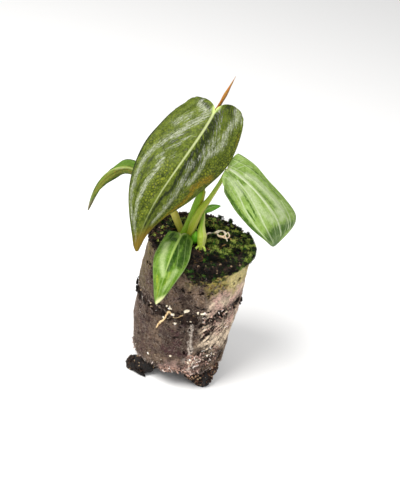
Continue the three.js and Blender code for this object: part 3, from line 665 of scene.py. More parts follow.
def colour(code):
    """Linear colour of a web colour code."""
    channels = [int(code[i:i + 2], 16) / 255 for i in (1, 3, 5)]
    return [c / 12.92 if c <= 0.04045 else ((c + 0.055) / 1.055) ** 2.4 for c in channels] + [1]


class Paint:
    """A material and the nodes that feed its shader.

    What feeds a socket is a number, a colour code or another node's output.
    """

    def __init__(self, name, **shader):
        self.material = bpy.data.materials.new(name)
        self.material.use_nodes = True
        self.tree = self.material.node_tree
        self.shader = self.tree.nodes["Principled BSDF"]
        for socket, value in shader.items():
            self.feed(self.shader.inputs[socket.replace("_", " ")], value)
        self.place = self.node("TexCoord").outputs["Object"]

    def feed(self, socket, value):
        if isinstance(value, bpy.types.NodeSocket):
            self.tree.links.new(value, socket)
        elif isinstance(value, str):
            socket.default_value = colour(value)
        else:
            socket.default_value = value

    def node(self, kind, inputs=None, **settings):
        made = self.tree.nodes.new("ShaderNode" + kind)
        for key, value in settings.items():
            setattr(made, key, value)
        for key, value in (inputs or {}).items():
            self.feed(made.inputs[key], value)
        return made

    def mark(self, name):
        return self.node("Attribute", attribute_name=name).outputs["Fac"]

    def grain(self, scale):
        uv = self.node("UVMap", uv_map="grain").outputs[0]
        return self.node("Mapping", {"Vector": uv, "Scale": scale}).outputs[0]

    def noise(self, size, detail=3, rough=0.55, place=None, twist=0.0):
        """Noise with grains size millimetres wide. With a place of its own, size is the noise's scale."""
        scale = 1 / (size * MM) if place is None else size
        found = self.node("TexNoise", {"Vector": place or self.place, "Scale": scale, "Detail": detail,
                                       "Roughness": rough, "Distortion": twist})
        return found.outputs["Fac"]

    def comb(self, size):
        """Distance from the borders of cells about size millimetres wide."""
        inputs = {"Vector": self.place, "Scale": 1 / (size * MM)}
        return self.node("TexVoronoi", inputs, feature="DISTANCE_TO_EDGE").outputs["Distance"]

    def sum(self, operation, a, b=0.0, c=0.0):
        return self.node("Math", {0: a, 1: b, 2: c}, operation=operation).outputs[0]

    def times(self, a, b):
        return self.sum("MULTIPLY", a, b)

    def fade(self, value, low, high, start=0.0, end=1.0):
        """Smooth change from start to end as the value goes from low to high."""
        found = self.node("MapRange", {"Value": value, "From Min": low, "From Max": high, "To Min": start,
                                       "To Max": end}, interpolation_type="SMOOTHSTEP")
        return found.outputs["Result"]

    def blend(self, share, a, b):
        return self.node("Mix", {0: share, 6: a, 7: b}, data_type="RGBA").outputs[2]

    def bump(self, height, depth, strength):
        """Relief of this depth in millimetres."""
        found = self.node("Bump", {"Height": height, "Strength": strength, "Distance": depth * MM})
        self.feed(self.shader.inputs["Normal"], found.outputs[0])

    def finish(self, base, rough=None):
        self.feed(self.shader.inputs["Base Color"], base)
        if rough is not None:
            self.feed(self.shader.inputs["Roughness"], rough)
        return self.material


def leaf_finish(name, base, light, deep, silver_and_sheen, warm, cell, tip, vein, gloss, lines, honeycomb=0.0,
                sparkle=0.4, joint="#a4b070"):
    """Upper side of a leaf: mottled blade, speckled silver and painted sheen, painted shade, warm flush,
    cream midrib.

    lines: colour of the side veins, their strength and that of the veins between them.
    """
    paint = Paint(name, Specular_IOR_Level=0.12)
    vein_mark, run, reach = paint.mark("vein"), paint.mark("run"), paint.mark("rib")
    phase = paint.sum("FRACT", paint.sum("ADD", vein_mark, 0.5))
    away = paint.times(paint.sum("ABSOLUTE", paint.sum("SUBTRACT", phase, 0.5)), paint.mark("gap"))
    drawn = {"X": paint.times(vein_mark, 17), "Y": paint.times(run, 20)}
    streak = paint.noise(1, 3, 0.6, place=paint.node("CombineXYZ", drawn).outputs[0])
    mottle = paint.noise(2.4, 4, 0.62)
    speck = paint.noise(0.75, 3, 0.7)
    ragged = paint.sum("MULTIPLY_ADD", speck, 1.1, paint.sum("MULTIPLY_ADD", streak, 3.3, -2.2))
    ragged = paint.times(ragged, 0.4 + 0.7 * sparkle)
    comb = paint.comb(1.35)
    yellow = paint.sum("ADD", paint.mark("cell"), honeycomb)
    tone = paint.blend(paint.fade(mottle, 0.36, 0.64), base, light)
    tone = paint.blend(paint.times(paint.fade(comb, 0.05, 0.5), paint.times(yellow, 0.8)), tone, cell)
    tone = paint.blend(paint.times(paint.fade(comb, 0.12, 0.0), paint.times(yellow, 0.6)), tone, deep)
    tone = paint.blend(paint.fade(streak, 0.52, 0.76, 0, 0.45), tone, deep)
    flush = paint.fade(paint.sum("ADD", paint.mark("warm"), paint.times(ragged, 0.9)), 0.3, 0.9)
    tone = paint.blend(paint.times(flush, paint.fade(comb, 0.02, 0.22, 0.35, 0.95)), tone, warm)
    # Deep streaks: partly the leaf's own darker green, partly painted shade where the blade faces away from
    # the light or curls under.
    shade = paint.sum("ADD", paint.mark("deep"), ragged)
    tone = paint.blend(paint.fade(shade, 0.3, 0.9, 0, 0.95), tone, deep)
    tone = paint.blend(paint.fade(speck, 0.47, 0.34, 0, 0.8 * sparkle), tone, deep)
    # Painted sheen and glints: the pale streaks lay speckled silver over the blade. This is partly the
    # silvery colour along its veins and partly painted highlight where the blade would catch the light.
    glint = paint.fade(paint.noise(0.8, 3, 0.7), 0.4, 0.6, 0.95 - 0.72 * sparkle, 0.92)
    pale = paint.fade(paint.sum("ADD", paint.mark("pale"), paint.times(ragged, sparkle)), 0.25, 1.05)
    tone = paint.blend(paint.times(pale, glint), tone, silver_and_sheen)
    line = paint.times(paint.fade(away, 0.5, 0.12), paint.fade(reach, 0.3, 1.6, 0.2, 1))
    tone = paint.blend(paint.times(line, lines[1]), tone, lines[0])
    second = paint.sum("FRACT", paint.times(vein_mark, 5))
    second = paint.fade(paint.sum("ABSOLUTE", paint.sum("SUBTRACT", second, 0.5)), 0.2, 0.05)
    tone = paint.blend(paint.times(second, paint.fade(mottle, 0.4, 0.6, 0, lines[2])), tone, lines[0])
    width = paint.fade(run, 0.0, 0.8, 1.1, 0.45)
    core = paint.fade(paint.sum("DIVIDE", reach, width), 0.8, 0.3)
    core = paint.times(core, paint.fade(speck, 0.3, 0.5, 0.7, 1))
    tone = paint.blend(paint.times(core, paint.fade(run, 0.92, 0.4, 0.1, 0.95)), tone, vein)
    junction = paint.times(paint.fade(run, 0.05, 0.0), paint.fade(reach, 2.4, 0.6))
    tone = paint.blend(junction, tone, joint)
    tone = paint.blend(paint.times(paint.mark("tip"), 0.95), tone, tip)
    tone = paint.blend(paint.times(paint.fade(paint.mark("edge"), 0.5, 0.15), 0.4), tone, deep)
    relief = paint.sum("MULTIPLY_ADD", speck, 0.8, paint.sum("MULTIPLY_ADD", line, -0.6, comb))
    paint.bump(relief, 0.22, 0.8)
    rough = paint.fade(speck, 0.3, 0.7, gloss - 0.08, gloss + 0.14)
    return paint.finish(tone, rough)


def underside_finish(name, base, vein):
    """Paler, matte underside of a leaf with its raised midrib."""
    paint = Paint(name, Specular_IOR_Level=0.3, Sheen_Weight=0.15, Sheen_Roughness=0.5)
    tone = paint.blend(paint.fade(paint.noise(2.5, 3), 0.3, 0.7, 0, 0.5), base, vein)
    rib = paint.fade(paint.mark("rib"), 1.1, 0.4)
    tone = paint.blend(paint.times(rib, 0.7), tone, vein)
    paint.bump(paint.noise(0.5, 3, 0.6), 0.12, 0.6)
    return paint.finish(tone, 0.6)


def stem_finish(name, foot, middle, top, streak, right, foot_end=0.15, top_start=0.6):
    """Smooth juicy stalk with fine lengthwise streaks.

    Its colour changes from foot to top, between the shares that are given, and towards its right side as
    painted shading.
    """
    paint = Paint(name, Specular_IOR_Level=0.25)
    share = paint.mark("share")
    tone = paint.blend(paint.fade(share, 0.0, foot_end + 0.15), foot, middle)
    tone = paint.blend(paint.fade(share, top_start - 0.2, top_start + 0.3), tone, top)
    lines = paint.noise(1, 3, 0.6, place=paint.grain((26, 2.5, 1)))
    tone = paint.blend(paint.fade(lines, 0.45, 0.75, 0, 0.55), tone, streak)
    # Painted shading: the right colour goes on the side of the stalk that faces +X.
    edge = paint.sum("MULTIPLY_ADD", lines, 0.5, paint.mark("side"))
    tone = paint.blend(paint.fade(edge, 0.35, 0.8, 0, 0.85), tone, right)
    blotch = paint.noise(1.5, 3, 0.6)
    tone = paint.blend(paint.fade(blotch, 0.5, 0.75, 0, 0.45), tone, foot)
    paint.bump(lines, 0.15, 0.6)
    return paint.finish(tone, paint.fade(blotch, 0.3, 0.7, 0.36, 0.52))


def paper_finish():
    """Worn non-woven paper: matted fibres and dark specks, in zones that the sleeve's own marks give."""
    paint = Paint("worn_fibre_paper", Specular_IOR_Level=0.2)
    uv = paint.node("UVMap", uv_map="grain").outputs[0]
    cloud = paint.noise(6, 4, 0.62)
    fine = paint.noise(1.0, 4, 0.72)
    warm = paint.noise(4, 3, 0.6)
    tone = paint.blend(paint.fade(cloud, 0.39, 0.61), "#43332a", "#806a57")
    violet = paint.fade(paint.noise(9, 3, 0.5, twist=0.6), 0.5, 0.68, 0, 0.5)
    tone = paint.blend(violet, tone, "#6a5558")
    cream = paint.times(paint.mark("pale"), paint.fade(cloud, 0.25, 0.5, 0.65, 1))
    tone = paint.blend(cream, tone, "#fde6c8")
    rosy = paint.times(paint.mark("rosy"), paint.fade(warm, 0.4, 0.56, 0, 0.85))
    tone = paint.blend(rosy, tone, "#e6bcae")
    # Dark panel left of the seam, and painted shade down the left side of the sleeve.
    tone = paint.blend(paint.times(paint.mark("panel_and_left_shade"), 0.8), tone, "#42322a")
    reddish = paint.times(paint.mark("panel_and_left_shade"), paint.fade(warm, 0.5, 0.6))
    tone = paint.blend(paint.times(reddish, 0.7), tone, "#4c2a30")
    tone = paint.blend(paint.times(paint.mark("tan"), paint.fade(fine, 0.42, 0.58)), tone, "#7c7048")
    threads = []
    for turn, long in ((0.45, 14), (-0.7, 11), (1.45, 12), (-0.15, 16)):
        leaned = paint.node("Mapping", {"Vector": uv, "Rotation": (0, 0, turn), "Scale": (2, 1, 1)})
        drawn = paint.node("Mapping", {"Vector": leaned.outputs[0], "Scale": (7 * long, long, 1)}).outputs[0]
        threads.append(paint.noise(2.2, 3, 0.6, place=drawn, twist=1.0))
    pale = paint.sum("MAXIMUM", paint.fade(threads[0], 0.57, 0.66), paint.fade(threads[1], 0.58, 0.67))
    deep = paint.sum("MAXIMUM", paint.fade(threads[2], 0.56, 0.66), paint.fade(threads[3], 0.57, 0.67))
    tone = paint.blend(paint.times(pale, 0.5), tone, "#d6c2ae")
    tone = paint.blend(paint.times(deep, 0.7), tone, "#261b16")
    dark = paint.times(paint.fade(fine, 0.54, 0.64), paint.fade(paint.mark("pale"), 0, 1, 0.85, 0.4))
    tone = paint.blend(dark, tone, "#1d1512")
    algae = paint.times(paint.mark("algae"), paint.fade(paint.noise(2.6, 4, 0.65), 0.3, 0.5))
    green = paint.blend(paint.fade(paint.noise(2.2, 3, 0.65), 0.43, 0.57), "#b0a052", "#36440e")
    tone = paint.blend(paint.times(algae, 0.88), tone, green)
    rust = paint.times(paint.mark("algae"), paint.fade(paint.noise(1.3, 2, 0.6), 0.58, 0.66))
    tone = paint.blend(rust, tone, "#6e4420")
    bright = paint.times(paint.mark("bright"), paint.fade(fine, 0.3, 0.6, 0.5, 1))
    tone = paint.blend(bright, tone, "#decf8e")
    stain = paint.sum("ADD", paint.mark("stain"), paint.sum("MULTIPLY_ADD", fine, 0.9, -0.5))
    tone = paint.blend(paint.times(paint.fade(stain, 0.4, 0.62), 0.93), tone, "#120d08")
    # Painted shade in the valleys between the slanting folds.
    tone = paint.blend(paint.times(paint.mark("fold_shade"), 0.85), tone, "#1f1410")
    worn = paint.times(paint.mark("worn"), paint.fade(fine, 0.35, 0.6, 1, 0.3))
    tone = paint.blend(paint.times(worn, 0.9), tone, "#1e1411")
    seam = paint.times(paint.mark("seam"), paint.fade(paint.noise(1.1, 3, 0.65), 0.36, 0.56))
    tone = paint.blend(paint.times(seam, 0.95), tone, "#f2e4d4")
    relief = paint.sum("MULTIPLY_ADD", pale, 0.6, paint.sum("SUBTRACT", fine, paint.times(deep, 0.5)))
    paint.bump(relief, 0.5, 1.0)
    return paint.finish(tone, 0.9)


def soil_finish():
    """Damp peat: near black between the grains, red-brown on them."""
    paint = Paint("damp_peat", Specular_IOR_Level=0.3)
    grain = paint.noise(0.9, 4, 0.7)
    tone = paint.blend(paint.fade(grain, 0.35, 0.7), "#140d0a", "#3a261c")
    tone = paint.blend(paint.fade(paint.noise(3, 3, 0.6), 0.55, 0.75, 0, 0.5), tone, "#4c3324")
    paint.bump(grain, 0.6, 1.0)
    return paint.finish(tone, paint.fade(grain, 0.3, 0.7, 0.9, 0.65))


def wet_finish():
    """Wet peat of the clods: black and shiny, with brown and grey grains."""
    paint = Paint("wet_peat", Specular_IOR_Level=0.3)
    grain = paint.noise(1.1, 4, 0.7)
    tone = paint.blend(paint.fade(grain, 0.45, 0.7), "#060403", "#2a1c16")
    tone = paint.blend(paint.fade(paint.noise(0.8, 2, 0.6), 0.64, 0.72), tone, "#6e5a4a")
    paint.bump(grain, 0.7, 1.0)
    return paint.finish(tone, paint.fade(grain, 0.35, 0.6, 0.42, 0.8))


def grain_finish(name, dark, light, spark, rough=0.85, bright=0.9, other=None, low=0.0):
    """Small repeated grains, each of its own tone between dark and light. other: a second light, in patches.

    low: tone up to which a grain stays dark. bright: tone from which it takes the spark colour.
    """
    paint = Paint(name, Specular_IOR_Level=0.3)
    if other:
        light = paint.blend(paint.fade(paint.noise(3.2, 3, 0.65), 0.42, 0.58), light, other)
    tone = paint.blend(paint.fade(paint.mark("tone"), low, 0.8), dark, light)
    tone = paint.blend(paint.fade(paint.mark("tone"), bright, 0.99), tone, spark)
    tone = paint.blend(paint.fade(paint.noise(0.5, 3, 0.6), 0.4, 0.7, 0, 0.4), tone, dark)
    paint.bump(paint.noise(0.4, 2, 0.6), 0.15, 0.8)
    return paint.finish(tone, rough)


def root_finish(name, pale, tan, spots):
    """Waxy root: pale and tan in patches, with small spots."""
    paint = Paint(name, Specular_IOR_Level=0.35, Subsurface_Weight=0.1,
                  Subsurface_Radius=(0.6, 0.4, 0.3), Subsurface_Scale=0.001)
    tone = paint.blend(paint.fade(paint.noise(1.6, 3, 0.6), 0.35, 0.7), pale, tan)
    tone = paint.blend(paint.fade(paint.noise(0.7, 3, 0.6), 0.6, 0.75, 0, 0.6), tone, spots)
    paint.bump(paint.noise(0.5, 2, 0.6), 0.15, 0.7)
    return paint.finish(tone, 0.6)


PAPER_FINISH = paper_finish()
SOIL_FINISH = soil_finish()
WET_FINISH = wet_finish()
CRUMB_FINISH = grain_finish("peat_crumbs", "#070504", "#3c2a1f", "#b49a7a")
MOSS_FINISH = grain_finish(
    "moss_leaves", "#050702", "#6a881c", "#d4e470", rough=0.7, bright=0.72, other="#38842a", low=0.26)
STRAND_FINISH = grain_finish("dry_strands", "#1e130b", "#7a5a30", "#cfa468", bright=0.85)
CLOD_FINISH = grain_finish("clod_grains", "#060302", "#603e2c", "#d0aa88", bright=0.86, low=0.36)
BIT_FINISH = grain_finish("pale_bits", "#c4ab86", "#efe6d0", "#ffffff", rough=0.7)
SHRED_FINISH = grain_finish("paper_shreds", "#2e1e18", "#cca492", "#fff6ee", rough=0.8, bright=0.75)
FIBRE_FINISH = grain_finish("paper_fibres", "#5c4a42", "#b5a498", "#e2d8cf", rough=0.8)
ROOT_FINISH = root_finish("pale_root", "#fff6e0", "#eac8a0", "#b08a68")
TAN_ROOT_FINISH = root_finish("tan_root", "#e6cc9c", "#b48a58", "#7c5a38")
LEAF_FINISHES = {
    "large_leaf_blade": leaf_finish(
        "velvet_olive_leaf", base="#404e0e", light="#606e22", deep="#1c250a", silver_and_sheen="#a8ac9a",
        warm="#8c7416", cell="#7a8020", tip="#76601c", vein="#a8b07e", gloss=0.5,
        lines=("#2a3411", 0.15, 0.1), honeycomb=0.35, sparkle=0.8, joint="#c2d880"),
    # Its dark green tip colour and the deep streaks near the tip are painted shade where the tip curls
    # under.
    "right_leaf_blade": leaf_finish(
        "pale_green_leaf", base="#7a9446", light="#88a256", deep="#305206", silver_and_sheen="#b4bf9c", warm="#8ba03c",
        cell="#8ba03c", tip="#41601c", vein="#b9c4a0", gloss=0.42, lines=("#b0bd92", 0.3, 0.3)),
    "front_leaf_blade": leaf_finish(
        "fresh_green_leaf", base="#4e7216", light="#66882a", deep="#1a3802", silver_and_sheen="#a5b67e", warm="#8fa02c",
        cell="#7a9238", tip="#dde2a4", vein="#90a856", gloss=0.42, lines=("#90a864", 0.2, 0.25)),
    "left_leaf_blade": leaf_finish(
        "olive_leaf", base="#4e6e1c", light="#5f7f2c", deep="#28390f", silver_and_sheen="#9aa07c", warm="#7c7430",
        cell="#7c7c34", tip="#7c7258", vein="#98a45c", gloss=0.5, lines=("#3c4c16", 0.25, 0.25)),
    "back_leaf_blade": leaf_finish(
        "young_green_leaf", base="#66a62a", light="#84bc40", deep="#347010", silver_and_sheen="#9cc668", warm="#7ca830",
        cell="#78b43c", tip="#6a9a34", vein="#a0c870", gloss=0.42, lines=("#8fb860", 0.3, 0.2)),
}
UNDERSIDE_FINISHES = {
    "large_leaf_blade": underside_finish("dark_leaf_underside", "#57632c", "#8a9158"),
    "right_leaf_blade": underside_finish("pale_leaf_underside", "#6f8c44", "#9fb575"),
    "front_leaf_blade": underside_finish("fresh_leaf_underside", "#6b8836", "#98ad66"),
    "left_leaf_blade": underside_finish("olive_leaf_underside", "#6e6d2c", "#8f8c4c"),
    "back_leaf_blade": underside_finish("young_leaf_underside", "#74b456", "#9cca80"),
}
STEM_FINISHES = {
    "main_stem": stem_finish("bright_stem", "#84a018", "#78a00c", "#74a00a", "#a0bc30", "#aeae34"),
    "large_leaf_petiole": stem_finish("upper_stem", "#80a41c", "#7fa01c", "#b8c870", "#a6ba48", "#a8b448"),
    "right_leaf_petiole": stem_finish("pale_stem", "#acac30", "#9cb02c", "#85a22a", "#bcc65c", "#bcbc5c"),
    "front_leaf_petiole": stem_finish("short_stem", "#5c7a12", "#668614", "#465c0c", "#88a030", "#909e34"),
    "left_leaf_petiole": stem_finish(
        "brown_sheath_stem", "#868a1c", "#b2aa4c", "#7c8c24", "#ccc080", "#a89e38"),
    "side_shoot": stem_finish("side_shoot_green", "#dce49c", "#b2c83c", "#7aac24", "#d0dc80", "#ccd278"),
    "new_leaf_spear": stem_finish(
        "rust_spear", "#8a9a38", "#9c6020", "#aa6a26", "#7c5420", "#7c4a1c", foot_end=0.62, top_start=0.86),
    "bud_leaf": stem_finish("bud_green", "#2a5a04", "#469010", "#6cac1a", "#90c434", "#509410"),
}


# Leaves


def half_width(leaf, u):
    """Half width of a blade as a share of its greatest, from the joint (0) to the tip (1)."""
    end = leaf["blunt"] * math.sqrt(clamp((1.004 - u) / 0.05))
    if u < leaf["widest"]:
        rise = leaf["base"] + (1 - leaf["base"]) * math.sin(math.pi / 2 * u / leaf["widest"])
        return rise * (1 - leaf["blunt"]) + end
    x = min((u - leaf["widest"]) / (1 - leaf["widest"]), 1)
    return (1 - x ** leaf["power"]) ** leaf["taper"] * (1 - leaf["blunt"]) + end


def vein_phase(leaf, u, out):
    """Whole numbers on the side veins, which leave the midrib in turn and sweep towards the tip."""
    return leaf["veins"] * (u - leaf["sweep"] * out - leaf["hook"] * out**6 - leaf["start"])


def streak_sum(streaks, place, length, widths):
    """Strength of the streaks at a place on a blade, given in millimetres."""
    total = 0
    for half, strength, path in streaks:
        spots = [Vector((u * length, v * widths[v > 0])) for u, v in path]
        least = min(closest(place, a, b) for a, b in zip(spots, spots[1:]))
        total = max(total, strength * math.exp(-((least / half) ** 2) * 0.9))
    return total


def closest(place, a, b):
    """Distance of a place from a straight run between two others."""
    run = b - a
    share = clamp((place - a).dot(run) / max(run.length_squared, 1e-9))
    return (place - a - run * share).length


def leaf_blade(node, leaf):
    """Blade bent along its midrib and across each half, with side veins, a groove and a waved margin."""
    a, b, c, d = (Vector(handle) for handle in leaf["midrib"])

    def curve(t):
        s = 1 - t
        return a * s**3 + b * (3 * s * s * t) + c * (3 * s * t * t) + d * t**3

    def heading(t):
        s = 1 - t
        return ((b - a) * (s * s) + (c - b) * (2 * s * t) + (d - c) * (t * t)).normalized()

    steps = [curve(step / CURVE_STEPS) for step in range(CURVE_STEPS + 1)]
    length = sum((ahead - behind).length for behind, ahead in zip(steps, steps[1:]))
    sideways = Vector(leaf["side"]).normalized()
    upper = leaf.get("outward", 1)

    def rule(u, v):
        half = 1 if v > 0 else 0
        sign = 1 if half else -1
        out = abs(v)
        lobe = leaf["lobe"][half] * math.sqrt(max(1 - ((out - 0.5) / 0.5) ** 2, 0)) * (1 - u) ** 3
        s = u * length - lobe
        t = max(s / length, 0)
        back = min(s, 0)
        along = heading(t)
        across = (sideways - along * sideways.dot(along)).normalized()
        across.rotate(Matrix.Rotation(math.radians(leaf["twist"]) * t, 3, along))
        above = along.cross(across)
        wide = leaf["width"][half] * half_width(leaf, u)
        reach = out * wide
        fold = math.radians(leaf["fold"][half])
        bend = (math.radians(leaf["rim"][half]) - fold) / leaf["width"][half]
        slope = fold + bend * reach
        if abs(bend) > 1e-9:
            aside = (math.sin(slope) - math.sin(fold)) / bend
            drop = (math.cos(slope) - math.cos(fold)) / bend
        else:
            aside = reach * math.cos(fold)
            drop = -reach * math.sin(fold)
        phase = vein_phase(leaf, u, out)
        along_step = leaf["veins"] / length
        across_step = leaf["veins"] * (leaf["sweep"] + 6 * leaf["hook"] * out**5) / max(wide, 1)
        gap = 1 / math.hypot(along_step, across_step)
        between = abs(math.sin(math.pi * phase)) ** 0.8
        calm = (1 - out ** 5) * min((1 - u) * 5, 1) * min(reach / 1.5, 1)
        spot = Vector((u * length, v * wide, half * 9.0))
        relief = leaf["quilt"] * (between - 0.35) * calm + FINE_RELIEF * grit(spot, 2.5, 3) * calm
        relief -= MIDRIB_GROOVE * math.exp(-((reach / MIDRIB_REACH) ** 2)) * (1 - u)
        wave = math.sin(2 * math.pi * (MARGIN_WAVES * u + 0.4 * half))
        relief += leaf["ripple"] * out**3 * wave * (1 - u * u)
        normal = above * math.cos(slope) + across * (sign * math.sin(slope))
        point = curve(t) + along * back + across * (sign * aside)
        point += above * (drop - LOBE_DROOP * back * back)
        edge = (1 - out) * wide
        flat = Vector((u * length, v * leaf["width"][half]))
        streaks = [streak_sum(leaf[kind], flat, length, leaf["width"]) for kind in STREAK_KINDS]
        tip = ease(*leaf.get("tip", (0.93, 0.99)), u + 0.06 * v)
        return point + normal * relief * upper, (phase, gap, reach, u, edge, *streaks, tip)

    marks = ("vein", "gap", "rib", "run", "edge", *STREAK_KINDS, "tip")
    mesh = shaped_grid(*leaf["grid"], rule, marks=marks, flip=upper > 0)
    blade = piece(node.replace("_blade", ""), mesh, [LEAF_FINISHES[node], UNDERSIDE_FINISHES[node]],
                  [node])
    wall = blade.modifiers.new("thickness", "SOLIDIFY")
    wall.thickness = BLADE * MM
    wall.offset = 0
    wall.material_offset = 1


for node_name, leaf_shape in LEAVES.items():
    leaf_blade(node_name, leaf_shape)


# Stalks, shoots and roots


def ribbed(ribs, depth, flat=0.0, turn=0.0):
    """Section of a stalk with shallow ribs, flattened by a share."""
    return lambda share, angle: 1 + depth * math.cos(ribs * angle) + flat * math.cos(2 * (angle - turn))


def spear_section(share, angle):
    """Rolled new leaf: slim where it passes the large leaf, widest halfway to its thread-like tip."""
    for (start, low), (end, high) in zip(SPEAR_WIDTHS, SPEAR_WIDTHS[1:]):
        if share <= end:
            break
    return lerp(low, high, ease(start, end, share)) * (1 + 0.15 * math.cos(2 * angle))


STALK_SECTIONS = {
    "main_stem": ribbed(9, 0.02, 0.08), "large_leaf_petiole": ribbed(7, 0.04),
    "right_leaf_petiole": ribbed(8, 0.04, 0.1),
    "front_leaf_petiole": ribbed(7, 0.03), "left_leaf_petiole": ribbed(9, 0.04, 0.12),
    "new_leaf_spear": spear_section, "bud_leaf": ribbed(5, 0.05),
}
for node_name, section in STALK_SECTIONS.items():
    path, radii = STALKS[node_name]
    skin = rod(path, radii, section=section)
    piece(node_name + "_skin", skin, [STEM_FINISHES[node_name]], [node_name])

shoot = [rod(*STALKS["side_shoot"], section=ribbed(7, 0.04, 0.12))]
shoot += [rod(nub, [ROOT_NUB_RADIUS] * 3, 16, 12) for nub in ROOT_NUBS]
piece("side_shoot_skin", joined(shoot), [STEM_FINISHES["side_shoot"]], ["side_shoot"])


# Plug: heights and radii shared by the paper, the medium and the moss


def on_plug(turn, radius, z):
    """Place at an angle round the plug, a distance from its axis and a height."""
    return Vector((radius * math.cos(turn), radius * math.sin(turn), z))


def outwards(turn, rise=0):
    """Way out from the plug's axis at an angle round it, rising by this much."""
    return on_plug(turn, 1, rise)


def rim_height(turn):
    """Height of the torn rim of the paper."""
    return PLUG_HEIGHT + RIM_TEAR * drift(4 * math.cos(turn), 4 * math.sin(turn), 7)


def foot_height(turn):
    """Height of the torn foot of the paper, which hangs lower at the back than at the front."""
    middle = (FOOT_HEIGHT_FRONT + FOOT_HEIGHT_BACK) / 2
    lean = (FOOT_HEIGHT_FRONT - FOOT_HEIGHT_BACK) / 2
    return middle - lean * math.sin(turn) + FOOT_TEAR * drift(5 * math.cos(turn), 5 * math.sin(turn), 1)


def paper_radius(turn, z):
    """Radius of the paper before its wrinkles: a tapered tube with a belly and soft creases."""
    crease = drift(3.2 * math.cos(turn), 3.2 * math.sin(turn), z / 14)
    belly = (BELLY - BELLY_LEFT * math.cos(turn)) * math.sin(math.pi * z / PLUG_HEIGHT)
    return lerp(FOOT_RADIUS, RIM_RADIUS, z / PLUG_HEIGHT) + CREASE * crease + belly


def from_seam(turn):
    """Angle from the seam, in degrees, -180 to 180."""
    return (math.degrees(turn) - SEAM_ANGLE + 180) % 360 - 180


def soil_top(x, y):
    """Height of the top of the medium: crumbly, but level under and round each moss cushion."""
    bare = 1
    for (cx, cy), radius, _, _ in CUSHIONS.values():
        away = math.hypot(x - cx, y - cy) - radius * (1 + CUSHION_RAGGEDNESS)
        bare = min(bare, clamp((away - LEVEL_BORDER) / LEVEL_FADE))
    crumbs = 0.7 * drift(x / 4.5, y / 4.5, 3) + 0.4 * drift(x / 2.2, y / 2.2, 9)
    return SOIL_LEVEL + SOIL_RELIEF * bare * crumbs


def cushion_top(seed, height, share, x, y):
    """Height of a cushion of moss at a share of its radius from its middle."""
    dome = height * math.sqrt(max(1 - share * share, 0))
    return SOIL_LEVEL + GAP + CUSHION_EDGE + dome + CUSHION_LUMPS * drift(x / 1.7, y / 1.7, seed)


def top_height(x, y):
    """Height of the moss, or of the bare medium, at a place on the top."""
    high = soil_top(x, y)
    for (cx, cy), radius, height, seed in CUSHIONS.values():
        share = math.hypot(x - cx, y - cy) / radius
        if share < 1:
            high = max(high, cushion_top(seed, height, share, x, y))
    return high


def hole_places():
    """Angle, height, half width and half height of each worn hole, as in the solids."""
    found = []
    for number in range(HOLE_COUNT):
        turn = math.radians(SEAM_ANGLE + 360 / HOLE_COUNT * (number + 0.5 + 0.25 * scatter(number, 1, 0)))
        height = HOLE_BAND_HEIGHT + HOLE_BAND_TILT * math.cos(turn) + 2 * scatter(number, 2, 0)
        wide = HOLE_WIDTH * (1 + 0.35 * scatter(number, 3, 0))
        tall = HOLE_TALL * (1 + 0.35 * scatter(number, 4, 0))
        found.append((turn, height, wide, tall))
    return found


HOLES = hole_places()


def hole_depth(turn, z):
    """Below 1 inside a worn hole, and growing away from it."""
    least = 9
    for centre, height, wide, tall in HOLES:
        aside = (turn - centre + math.pi) % (2 * math.pi) - math.pi
        least = min(least, math.hypot(aside * RIM_RADIUS / wide, (z - height) / tall))
    spot = on_plug(turn, RIM_RADIUS, z)
    return least * (1 + HOLE_RAGGEDNESS * grit(spot, 3.2, 4)) + 0.12


def slant(turn, z):
    """Slanting wrinkles of the loose paper to the right of the seam: 1 on a fold, -1 between folds."""
    run = math.radians(from_seam(turn)) * RIM_RADIUS
    lean = math.radians(SLANT_DEG)
    lengthwise = run * math.cos(lean) + z * math.sin(lean)
    crosswise = run * math.sin(lean) - z * math.cos(lean)
    ridge = noise.noise(Vector((lengthwise / 9, crosswise / 2.1, 3.5)))
    return clamp(1.2 - 5 * abs(ridge), -1, 1)


def loose(turn, z):
    """Share of the slanting wrinkles: full to the right of the seam, in the lower two thirds."""
    return window(from_seam(turn), 4, 62, 7) * window(z, 13, 54, 5)


def wrinkle(turn, z):
    """How far the paper stands out: small dents and folds all over, and the slanting wrinkles."""
    spot = on_plug(turn, RIM_RADIUS, z)
    folds = 0.5 - abs(noise.noise(spot / 6.5)) * 2
    return WRINKLE * (0.8 * grit(spot, 5, 3) + 0.5 * folds) + SLANT_DEPTH * loose(turn, z) * slant(turn, z)


def paper_place(turn, z, skin):
    """Place on the paper, skin millimetres outside it, or inside it below 0."""
    lap = SEAM_LAP * ease(SEAM_WIDTH / 2 + SEAM_FADE, SEAM_WIDTH / 2 - SEAM_FADE, abs(from_seam(turn)))
    return on_plug(turn, paper_radius(turn, z) + lap + wrinkle(turn, z) + skin, z)


